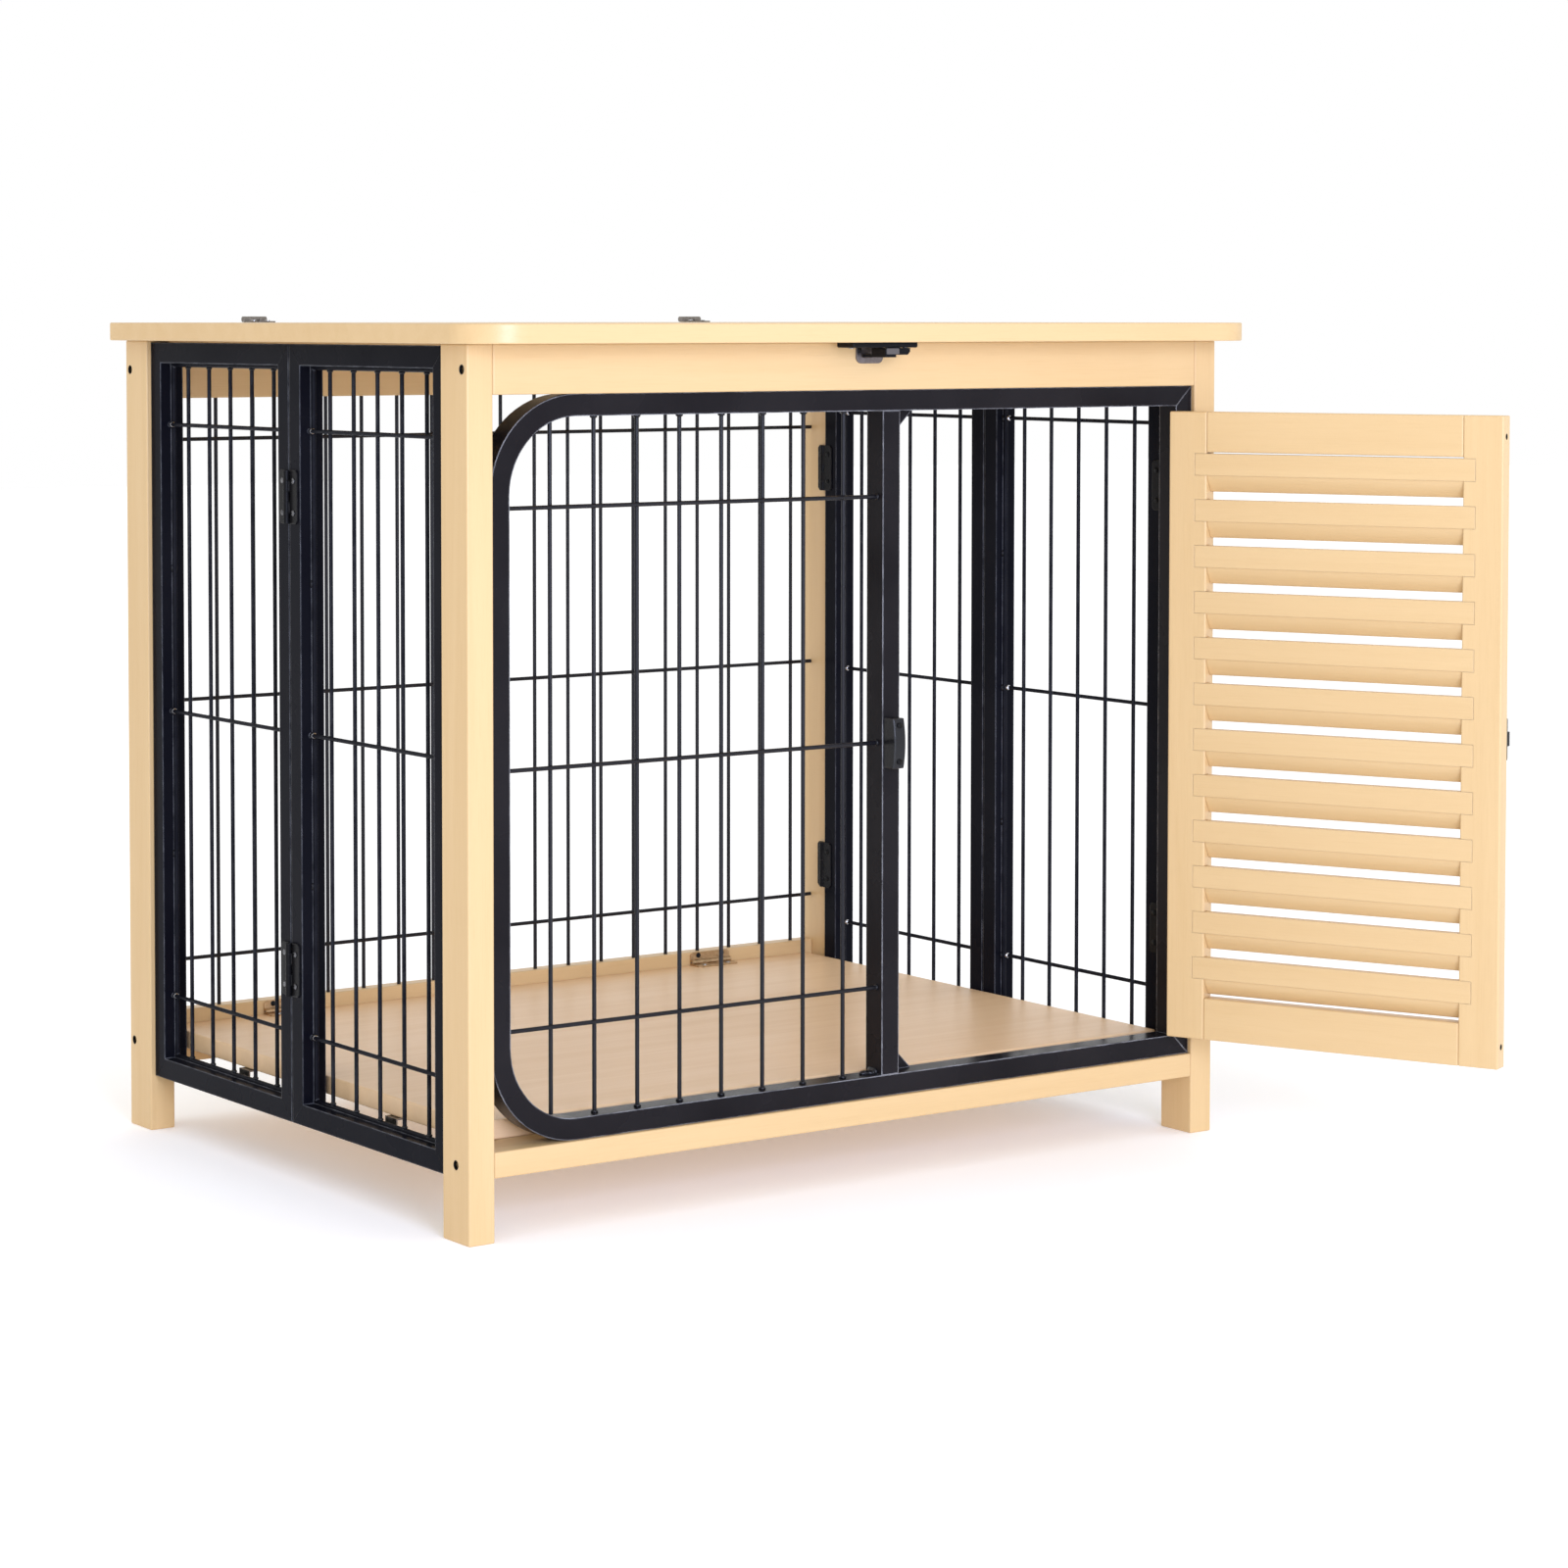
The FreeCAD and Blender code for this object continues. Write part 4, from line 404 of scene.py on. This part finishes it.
SPANGLE_PER_METRE = (260, 260, 260)
ROLLING_PER_METRE = (90, 1500, 1500)
brushed_metal, brushed_in, brushed_out = node_group(
    "Plated_Steel",
    [("Vector", "NodeSocketVector", (0, 0, 0)), ("Gloss", "NodeSocketFloat", 0.3)],
    [("Tone", "NodeSocketFloat"), ("Roughness", "NodeSocketFloat"), ("Height", "NodeSocketFloat")])
spangle = noise(brushed_metal, brushed_in.outputs["Vector"], SPANGLE_PER_METRE, detail=3)
rolling = noise(brushed_metal, brushed_in.outputs["Vector"], ROLLING_PER_METRE, detail=2)
brushed_metal.links.new(
    remap(brushed_metal, spangle, low=0.32, high=0.68, to_low=0.0, to_high=1.0), brushed_out.inputs["Tone"])
brushed_metal.links.new(
    combine(brushed_metal, "ADD", brushed_in.outputs["Gloss"],
            remap(brushed_metal, spangle, low=0.3, high=0.7, to_low=-0.06, to_high=0.12)),
    brushed_out.inputs["Roughness"])
brushed_metal.links.new(rolling, brushed_out.inputs["Height"])


PLATED_ARRIS_RADIUS = 0.0005


def plated_steel(name, bright, dull, gloss):
    """Bare plated metal with a fine rolled surface, duller patches and a painted highlight on its arrises.
    """
    material, tree, shader = blank_material(name)
    vector = piece_coordinates(tree)
    plate = place_group(tree, brushed_metal, vector, Gloss=gloss)
    edge = place_group(tree, arris_highlight_and_wear, vector, Radius=PLATED_ARRIS_RADIUS)
    colour = mix_colour(tree, plate.outputs["Tone"], dull, bright)
    # Painted highlight: the arrises take the bright colour.
    tree.links.new(mix_colour(tree, edge.outputs["Mask"], colour, bright), shader.inputs["Base Color"])
    tree.links.new(plate.outputs["Roughness"], shader.inputs["Roughness"])
    shader.inputs["Metallic"].default_value = 1
    bump_from(tree, plate.outputs["Height"], edge, shader, strength=0.15, distance=0.0001)
    return material


zinc = plated_steel("Zinc", bright=(0.30, 0.27, 0.24), dull=(0.13, 0.115, 0.10), gloss=0.34)
for leaf in ("Lid_Hinge_Lid_Leaves", "Lid_Hinge_Rail_Leaves", "Moving_Hinge_Pins", "Floor_Rest_Clips"):
    give(leaf, zinc)
brass = plated_steel("Brass_Plate", bright=(0.62, 0.44, 0.25), dull=(0.46, 0.31, 0.17), gloss=0.42)
for leaf in ("Floor_Hinge_Board_Leaves", "Floor_Hinge_Rail_Leaves"):
    give(leaf, brass)


# Latches: a black moulded body with a sliding bolt on the door's outer face, and another under the
# lid's front edge, both screwed on. The lid's bolt has a grey pad for the thumb on its front.
moulded_black = coated_steel(
    "Moulded_Black", deep=(0.004, 0.004, 0.005), thin=(0.008, 0.008, 0.009), arris_highlight=(0.03, 0.03, 0.03),
    gloss=0.36)
for part in ("Door_Latch_Base", "Door_Latch_Bolt", "Lid_Latch_Base", "Lid_Latch_Bolt"):
    give(part, moulded_black)


def block(low, high):
    """A box between two corners."""
    shape = bmesh.new()
    bmesh.ops.create_cube(
        shape, size=1, matrix=Matrix.Translation((low + high) / 2) @ Matrix.Diagonal((*(high - low), 1)))
    return shape


def finish_piece(name, shape, material, body):
    """Make an object of a shape and let it ride on a body of the crate."""
    data = bpy.data.meshes.new(name)
    shape.to_mesh(data)
    shape.free()
    data.materials.append(material)
    piece = bpy.data.objects.new(name, data)
    bpy.context.scene.collection.objects.link(piece)
    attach(piece, body)
    return piece


bolt_grey = coated_steel(
    "Bolt_Grey", deep=(0.09, 0.08, 0.076), thin=(0.12, 0.11, 0.10), arris_highlight=(0.22, 0.20, 0.19), gloss=0.36)
PAD_THICKNESS = 0.0004
PAD_MARGIN = 0.0006
PAD_ABOVE_WEDGE = 0.0028
PAD_RIGHT_END = 0.0095
PAD_CORNER_RADIUS = 0.0012
bolt_left, bolt_front, bolt_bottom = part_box("Lid_Latch_Bolt")[0]
latch_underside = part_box("Lid_Latch_Base")[0][2]
thumb_pad = block(
    Vector((bolt_left + PAD_MARGIN, bolt_front - PAD_THICKNESS, bolt_bottom + PAD_ABOVE_WEDGE)),
    Vector((PAD_RIGHT_END, bolt_front, latch_underside - PAD_MARGIN)))
pad_corners = [edge for edge in thumb_pad.edges
               if abs(edge.verts[0].co.y - edge.verts[1].co.y) > PAD_THICKNESS / 2]
bmesh.ops.bevel(
    thumb_pad, geom=pad_corners, offset=PAD_CORNER_RADIUS, affect="EDGES", segments=4, profile=0.5,
    material=-1)
finish_piece("Lid_Bolt_Thumb_Pad", thumb_pad, bolt_grey, "lid_bolt")


# Strike plate: a strip of plated steel that has gone brownish grey, screwed on the apron's front, with
# a slot that takes the lid's bolt.
give("Lid_Strike_Plate",
     plated_steel("Strike_Steel", bright=(0.24, 0.21, 0.20), dull=(0.14, 0.12, 0.115), gloss=0.42))


# Door keeper: a black moulded block, screwed on the centre post, with a pocket in its right side that
# takes the door's bolt. Its front is bowed from top to bottom and all its edges are rounded.
KEEPER_BOW = 0.0028
KEEPER_EDGE_RADIUS = 0.0009
KEEPER_SIDE_WALL = 0.003
NEAR_MIDDLE_LEVEL = 0.012
BOW_STEPS = 6
HAIR = 0.0001
TOUCHING = 1e-6
keeper_low, keeper_high = (Vector(corner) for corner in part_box("Door_Keeper"))
keeper_middle = (keeper_low + keeper_high) / 2
half_height = (keeper_high.z - keeper_low.z) / 2
pocket = [corner.co for corner in frame["nodes"]["Door_Keeper"].data.vertices
          if abs(corner.co.z - keeper_middle.z) < NEAR_MIDDLE_LEVEL]
pocket_wall = min(corner.x for corner in pocket
                  if keeper_low.x + KEEPER_SIDE_WALL < corner.x < keeper_high.x - KEEPER_SIDE_WALL)
pocket = [corner for corner in pocket if abs(corner.x - pocket_wall) < HAIR]
pocket_depths = (min(corner.y for corner in pocket), max(corner.y for corner in pocket))
pocket_levels = (min(corner.z for corner in pocket), max(corner.z for corner in pocket))
keeper = block(keeper_low, keeper_high)
cuts = [((0, depth, 0), (0, 1, 0)) for depth in pocket_depths]
cuts += [((0, 0, level), (0, 0, 1)) for level in pocket_levels]
cuts += [((0, 0, keeper_middle.z + half_height * step / BOW_STEPS), (0, 0, 1))
         for step in range(1 - BOW_STEPS, BOW_STEPS)]
for point, normal in cuts:
    bmesh.ops.bisect_plane(
        keeper, geom=keeper.verts[:] + keeper.edges[:] + keeper.faces[:], dist=TOUCHING,
        plane_co=point, plane_no=normal)
mouth = [face for face in keeper.faces if face.normal.x > 0.9
         and pocket_depths[0] < face.calc_center_median().y < pocket_depths[1]
         and pocket_levels[0] < face.calc_center_median().z < pocket_levels[1]]
sunk = bmesh.ops.extrude_face_region(keeper, geom=mouth)["geom"]
bmesh.ops.translate(
    keeper, verts=[item for item in sunk if isinstance(item, bmesh.types.BMVert)],
    vec=(pocket_wall - keeper_high.x, 0, 0))
for corner in keeper.verts:
    if corner.co.y < keeper_low.y + HAIR:
        corner.co.y += KEEPER_BOW * ((corner.co.z - keeper_middle.z) / half_height) ** 2
bmesh.ops.dissolve_degenerate(keeper, dist=TOUCHING, edges=keeper.edges)
# The keeper's arrises get a grey painted highlight.
keeper_moulding = coated_steel(
    "Keeper_Moulding", deep=(0.006, 0.006, 0.007), thin=(0.012, 0.012, 0.013), arris_highlight=(0.16, 0.16, 0.165),
    gloss=0.22, peel_strength=0.1, sheen=0.3)
bowed_keeper = finish_piece("Door_Keeper_Bow", keeper, keeper_moulding, "frame")
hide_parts("Door_Keeper")
rounding = bowed_keeper.modifiers.new("Rounded_Edges", "BEVEL")
rounding.width = KEEPER_EDGE_RADIUS
rounding.segments = 3
rounding.limit_method = "ANGLE"
rounding.angle_limit = math.radians(35)


# Screws: domed heads with a cross recess over a plain shank. They are black nickel on the mid hinges,
# black inside the crate and in the holes of the posts and the door, bright zinc on the lid and the floor.
screw_zinc = plated_steel("Screw_Zinc", bright=(0.62, 0.61, 0.60), dull=(0.40, 0.39, 0.38), gloss=0.2)
screw_nickel = plated_steel(
    "Screw_Black_Nickel", bright=(0.20, 0.20, 0.21), dull=(0.05, 0.05, 0.055), gloss=0.16)
screw_black = coated_steel(
    "Screw_Black", deep=(0.004, 0.004, 0.004), thin=(0.01, 0.01, 0.01), arris_highlight=(0.03, 0.03, 0.03), gloss=0.3)


def solids_of(node, turn):
    """The points of every separate solid of a node, seen in a turned frame."""
    shape = bmesh.new()
    shape.from_mesh(frame["nodes"][node].data)
    bmesh.ops.remove_doubles(shape, verts=shape.verts, dist=TOUCHING)
    bmesh.ops.transform(shape, matrix=turn, verts=shape.verts)
    left = set(shape.verts)
    solids = []
    while left:
        reach = [left.pop()]
        points = []
        while reach:
            corner = reach.pop()
            points.append(corner.co.copy())
            near = [edge.other_vert(corner) for edge in corner.link_edges]
            near = [other for other in near if other in left]
            left.difference_update(near)
            reach.extend(near)
        solids.append(points)
    shape.free()
    return solids


def aimed(direction):
    """The turn that carries an upright shape along a direction."""
    return direction.to_track_quat("Z", "X").to_matrix().to_4x4()


def join(shape, extra):
    """Move one shape into another."""
    carrier = bpy.data.meshes.new("carrier")
    extra.to_mesh(carrier)
    extra.free()
    shape.from_mesh(carrier)
    bpy.data.meshes.remove(carrier)


# A screw is shaped with a head of radius 1 and height 1 and then stretched to its own size. Its top
# starts as five by five cells, and the recess is the cross of the middle ones.
NEAR_RIM = 0.9
HEAD_CELLS = 5
MIDDLE_CELL = 1 / HEAD_CELLS
DOME_DROP = 0.5
RECESS_HALF_WIDTH = 0.14
RECESS_REACH = 0.6
RECESS_DEPTH = 0.75
RECESS_TAPER = 0.72
SHANK_SHOULDER = 0.55
SHANK_RADIUS = 0.5
SHANK_TIP = 0.1


def add_screw(shape, points, back):
    """One screw where the given points lie, turned back from the frame that they are seen in."""
    low = Vector(min(point[axis] for point in points) for axis in range(3))
    high = Vector(max(point[axis] for point in points) for axis in range(3))
    size = high - low
    along = min(range(3), key=lambda axis: abs(size[axis - 1] - size[axis - 2]))
    middle = (low + high) / 2
    radius = size[along - 1] / 2
    rim = [point[along] for point in points
           if math.hypot(point[along - 1] - middle[along - 1], point[along - 2] - middle[along - 2])
           > NEAR_RIM * radius]
    outward = 1 if sum(rim) / len(rim) > middle[along] else -1
    head = max(rim) - min(rim)
    top = Vector(middle)
    top[along] = high[along] if outward > 0 else low[along]
    direction = Vector((0, 0, 0))
    direction[along] = outward

    screw = bmesh.new()
    bmesh.ops.create_grid(screw, x_segments=HEAD_CELLS, y_segments=HEAD_CELLS, size=1)
    for corner in screw.verts:
        widest = max(abs(corner.co.x), abs(corner.co.y))
        place = [RECESS_HALF_WIDTH * value / MIDDLE_CELL if abs(value) < 1.5 * MIDDLE_CELL else value
                 for value in corner.co[:2]]
        reach = math.hypot(*place) if widest > 1 - MIDDLE_CELL else 1
        corner.co = (place[0] / reach, place[1] / reach, -DOME_DROP * widest * widest)
    recess = []
    for face in screw.faces:
        across, out = sorted(abs(value) for value in face.calc_center_median()[:2])
        if across < MIDDLE_CELL / 4 and out < RECESS_REACH:
            recess.append(face)
    rim_edges = [edge for edge in screw.edges if edge.is_boundary]
    sunk = bmesh.ops.extrude_face_region(screw, geom=recess)["geom"]
    sunk = [item for item in sunk if isinstance(item, bmesh.types.BMVert)]
    bmesh.ops.translate(screw, verts=sunk, vec=(0, 0, -RECESS_DEPTH))
    bmesh.ops.scale(screw, verts=sunk, vec=(RECESS_TAPER, RECESS_TAPER, 1))
    tip = -size[along] / head
    for reach, level in ((1, -1), (SHANK_SHOULDER, -1), (SHANK_RADIUS, tip), (SHANK_TIP, tip)):
        grown = bmesh.ops.extrude_edge_only(screw, edges=rim_edges)["geom"]
        rim_edges = [item for item in grown if isinstance(item, bmesh.types.BMEdge)]
        for corner in (item for item in grown if isinstance(item, bmesh.types.BMVert)):
            ring = math.hypot(corner.co.x, corner.co.y)
            corner.co = (corner.co.x * reach / ring, corner.co.y * reach / ring, level)
    bmesh.ops.holes_fill(screw, edges=rim_edges, sides=0)
    bmesh.ops.recalc_face_normals(screw, faces=screw.faces)
    stretch = Matrix.Diagonal((radius, radius, head, 1))
    bmesh.ops.transform(
        screw, verts=screw.verts, matrix=back @ Matrix.Translation(top) @ aimed(direction) @ stretch)
    join(shape, screw)


PANEL_OUTER_SIDE = 0.42
MID_HINGE_REACH = 0.05
straight = Matrix.Identity(4)
mid_screws = bmesh.new()
inside_screws = bmesh.new()
for points in solids_of("Frame_Hinge_Screws", straight):
    outside = abs(points[0].x) > PANEL_OUTER_SIDE and abs(points[0].y) < MID_HINGE_REACH
    add_screw(mid_screws if outside else inside_screws, points, straight)
mid_heads = finish_piece("Mid_Hinge_Screws_Cross_Head", mid_screws, screw_nickel, "frame")
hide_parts("Frame_Hinge_Screws")
finish_piece("Inside_Hinge_Screws_Cross_Head", inside_screws, screw_black, "frame")

for node, body, material, slot, turn in (
        ("Frame_Screws", "frame", screw_black, "black_hardware", straight),
        ("Floor_Screws", "floor", screw_zinc, "bright_screws", straight),
        ("Lid_Screws", "lid", screw_zinc, "bright_screws", straight),
        ("Door_Screws", "door", screw_black, "black_hardware", door_place)):
    screws = bmesh.new()
    for points in solids_of(node, turn.inverted()):
        add_screw(screws, points, turn)
    heads = finish_piece(node + "_Cross_Head", screws, material, body)
    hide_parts(node)


# Painted shade: thin black tubes that line the screw holes in the posts' outer sides and in the door's
# edges, so that the holes look dark. Each starts a hair below the surface and reaches down to the screw's
# head.
SHADE_TUBE_WALL = 0.0006
SHADE_TUBE_SETBACK = 0.0003
POST_HOLE_RADIUS = 0.0044
DOOR_HOLE_RADIUS = 0.0029
EDGE_SCREW_LENGTH = 0.015


def add_hole_shade(shape, points, mouth, radius, back):
    """A black tube of painted shade from a hole's mouth to the screw whose points are given."""
    middle = sum(points, Vector()) / len(points)
    way = 1 if mouth > middle.x else -1
    head = max(points, key=lambda point: point.x * way).x
    levels = [point.z for point in points]
    depths = [point.y for point in points]
    centre = Vector(((mouth - way * SHADE_TUBE_SETBACK + head) / 2,
                     (min(depths) + max(depths)) / 2, (min(levels) + max(levels)) / 2))
    shade_tube = bmesh.new()
    bmesh.ops.create_cone(
        shade_tube, cap_ends=False, segments=24, radius1=radius, radius2=radius,
        depth=abs(mouth - head) - SHADE_TUBE_SETBACK,
        matrix=back @ Matrix.Translation(centre) @ aimed(Vector((1, 0, 0))))
    bmesh.ops.recalc_face_normals(shade_tube, faces=shade_tube.faces)
    bmesh.ops.solidify(shade_tube, geom=shade_tube.faces[:], thickness=SHADE_TUBE_WALL)
    bmesh.ops.recalc_face_normals(shade_tube, faces=shade_tube.faces)
    join(shape, shade_tube)


post_hole_shade = bmesh.new()
for points in solids_of("Frame_Screws", straight):
    side = "Right" if points[0].x > 0 else "Left"
    outer_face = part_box("Post_Front_" + side)[1 if side == "Right" else 0][0]
    add_hole_shade(post_hole_shade, points, outer_face, POST_HOLE_RADIUS, straight)
finish_piece("Post_Hole_Painted_Shade", post_hole_shade, screw_black, "frame")

door_back = door_place.inverted()
door_width = [(door_back @ corner.co).x for stile in ("Door_Hinge_Stile", "Door_Free_Stile")
              for corner in frame["nodes"][stile].data.vertices]
hinge_edge, free_edge = min(door_width), max(door_width)
door_hole_shade = bmesh.new()
for points in solids_of("Door_Screws", door_back):
    across = [point.x for point in points]
    if max(across) - min(across) > EDGE_SCREW_LENGTH:
        near_free_edge = sum(across) / len(across) > (hinge_edge + free_edge) / 2
        mouth = free_edge if near_free_edge else hinge_edge
        add_hole_shade(door_hole_shade, points, mouth, DOOR_HOLE_RADIUS, door_place)
finish_piece("Door_Hole_Painted_Shade", door_hole_shade, screw_black, "door")


# Front grid welds: a small bead where two wires cross and where a wire meets a tube, and a rough lump
# at the centre post's foot. The first wire goes into the tube's bend and has no bead at its ends.
weld_coat = coated_steel(
    "Weld_Coat", deep=(0.003, 0.003, 0.005), thin=(0.008, 0.008, 0.01), arris_highlight=(0.05, 0.05, 0.05),
    gloss=0.12, peel_strength=0.4, sheen=0.3)


def bead(shape, place, size):
    """A drop of weld metal with the given half sizes."""
    bmesh.ops.create_uvsphere(
        shape, u_segments=8, v_segments=5, radius=1,
        matrix=Matrix.Translation(place) @ Matrix.Diagonal((*size, 1)))


def finish_welds(name, shape, material):
    """Smooth the beads and leave them on the crate's frame."""
    for face in shape.faces:
        face.smooth = True
    finish_piece(name, shape, material, "frame")


INWARD = (1, -1)
CROSSING_BEAD = (0.0024, 0.0030, 0.0024)
FRONT_WIRES = [-0.343 + 0.047 * index for index in range(8)]
FRONT_ROWS = [0.185 + 0.23425 * index for index in range(3)]
FRONT_CROSSING_DEPTH = -0.3147
BAY_ENDS = (-0.393, 0.024)
BAY_LEVELS = (0.1015, 0.735)
BEAD_INSET = 0.0008
ROW_END_DEPTH, ROW_END_BEAD = -0.3164, (0.0018, 0.0032, 0.0032)
WIRE_END_DEPTH, WIRE_END_BEAD = -0.313, (0.0037, 0.0037, 0.0022)
front_welds = bmesh.new()
for level in FRONT_ROWS:
    for wire in FRONT_WIRES:
        bead(front_welds, (wire, FRONT_CROSSING_DEPTH, level), CROSSING_BEAD)
    for end, inward in zip(BAY_ENDS, INWARD):
        bead(front_welds, (end + inward * BEAD_INSET, ROW_END_DEPTH, level), ROW_END_BEAD)
for wire in FRONT_WIRES[1:]:
    for end, inward in zip(BAY_LEVELS, INWARD):
        bead(front_welds, (wire, WIRE_END_DEPTH, end + inward * BEAD_INSET), WIRE_END_BEAD)

FOOT_RUN = 0.014
FOOT_SLANT = 0.004
FOOT_SPREAD = 0.012
FLAT_LUMP, FLAT_LUMP_DEPTH, FLAT_LUMP_LEVEL = (0.0052, 0.0036, 0.0026), -0.3128, 0.1024
SIDE_LUMP, SIDE_LUMP_DEPTH, SIDE_LUMP_LEVEL = (0.0018, 0.0044, 0.0048), -0.3165, 0.1030
for share in (0.2, 0.5, 0.75):
    bead(front_welds,
         (BAY_ENDS[1] - FOOT_RUN * share, FLAT_LUMP_DEPTH + FOOT_SLANT * share, FLAT_LUMP_LEVEL), FLAT_LUMP)
    bead(front_welds,
         (BAY_ENDS[1] - BEAD_INSET, SIDE_LUMP_DEPTH + FOOT_SPREAD * share, SIDE_LUMP_LEVEL), SIDE_LUMP)
finish_welds("Front_Grid_Welds", front_welds, weld_coat)


# Rear grid welds: a bead at every crossing of the nineteen upright wires and the three level ones,
# under the same thin coat. The upright wires' ends go into holes in the rails and have no beads.
REAR_WIRES = [0.043 * (index - 9) for index in range(19)]
REAR_ROWS = [0.166 + 0.2665 * index for index in range(3)]
REAR_CROSSING_DEPTH = 0.3173
rear_welds = bmesh.new()
for level in REAR_ROWS:
    for wire in REAR_WIRES:
        bead(rear_welds, (wire, REAR_CROSSING_DEPTH, level), CROSSING_BEAD)
finish_welds("Rear_Grid_Welds", rear_welds, weld_coat)


# Side panel welds: beads at the wires' crossings and ends, tacks that hold the rim rods to the tubes,
# and a dressed seam along every mitre. The ends of the level wires get bright metal beads: painted glints.
weld_glint_metal = plated_steel("Weld_Painted_Glint", bright=(0.75, 0.76, 0.80), dull=(0.35, 0.35, 0.37), gloss=0.2)
SIDE_WIRES = [0.1425 + 0.044 * (index - 2) for index in range(5)]
SIDE_ROWS = [0.1395 + 0.28825 * index for index in range(3)]
SIDE_CROSSING_PLACE, SIDE_CROSSING_BEAD = 0.4227, (0.0030, 0.0024, 0.0024)
RIM_ROD_PLACE = 0.421
PANEL_INSIDE_ENDS = (0.021, 0.264)
PANEL_INSIDE_LEVELS = (0.076, 0.778)
UPRIGHT_END_INSET, UPRIGHT_END_BEAD = 0.0050, (0.0030, 0.0034, 0.0020)
GLINT_BEAD_PLACE, GLINT_BEAD_INSET, GLINT_BEAD_SIZE = 0.4236, 0.0040, (0.0034, 0.0026, 0.0030)
TACK_LEVELS = [SIDE_ROWS[0] + 0.144 * index for index in range(5)]
TACK_SPREAD, TACK_INSET, TACK_BEAD = 0.0024, 0.0004, (0.0016, 0.0016, 0.0038)
TUBE_WIDTH = 0.020
TUBE_FACES = (0.41, 0.435)
SEAM_RADIUS = 0.0002
SEAM_SHARE = 0.98
for side, side_name in ((-1, "Left"), (1, "Right")):
    for way, way_name in ((-1, "Front"), (1, "Rear")):
        welds = bmesh.new()
        glint_beads = bmesh.new()
        rim_x = side * RIM_ROD_PLACE
        for wire in SIDE_WIRES:
            for level in SIDE_ROWS:
                bead(welds, (side * SIDE_CROSSING_PLACE, way * wire, level), SIDE_CROSSING_BEAD)
            for end, inward in zip(PANEL_INSIDE_LEVELS, INWARD):
                bead(welds, (rim_x, way * wire, end + inward * UPRIGHT_END_INSET), UPRIGHT_END_BEAD)
        # Painted glints: bright metal beads at the level wires' ends.
        for level in SIDE_ROWS:
            for end, inward in zip(PANEL_INSIDE_ENDS, INWARD):
                glint_place = (side * GLINT_BEAD_PLACE, way * (end + inward * GLINT_BEAD_INSET), level)
                bead(glint_beads, glint_place, GLINT_BEAD_SIZE)
        for level in TACK_LEVELS:
            for end, inward in zip(PANEL_INSIDE_ENDS, INWARD):
                for face in (-1, 1):
                    tack_place = (rim_x + face * TACK_SPREAD, way * (end + inward * TACK_INSET), level)
                    bead(welds, tack_place, TACK_BEAD)
        for end, inward in zip(PANEL_INSIDE_ENDS, INWARD):
            outer_end = end - inward * TUBE_WIDTH
            for level, upward in zip(PANEL_INSIDE_LEVELS, INWARD):
                outer_level = level - upward * TUBE_WIDTH
                for face in TUBE_FACES:
                    start = Vector((side * face, way * end, level))
                    stop = Vector((side * face, way * outer_end, outer_level))
                    run = stop - start
                    bmesh.ops.create_cone(
                        welds, cap_ends=True, segments=8, radius1=SEAM_RADIUS, radius2=SEAM_RADIUS,
                        depth=run.length * SEAM_SHARE,
                        matrix=Matrix.Translation((start + stop) / 2) @ aimed(run))
        panel = f"Side_Panel_{side_name}_{way_name}"
        finish_welds(panel + "_Welds", welds, weld_coat)
        finish_welds(panel + "_Wire_End_Glints", glint_beads, weld_glint_metal)
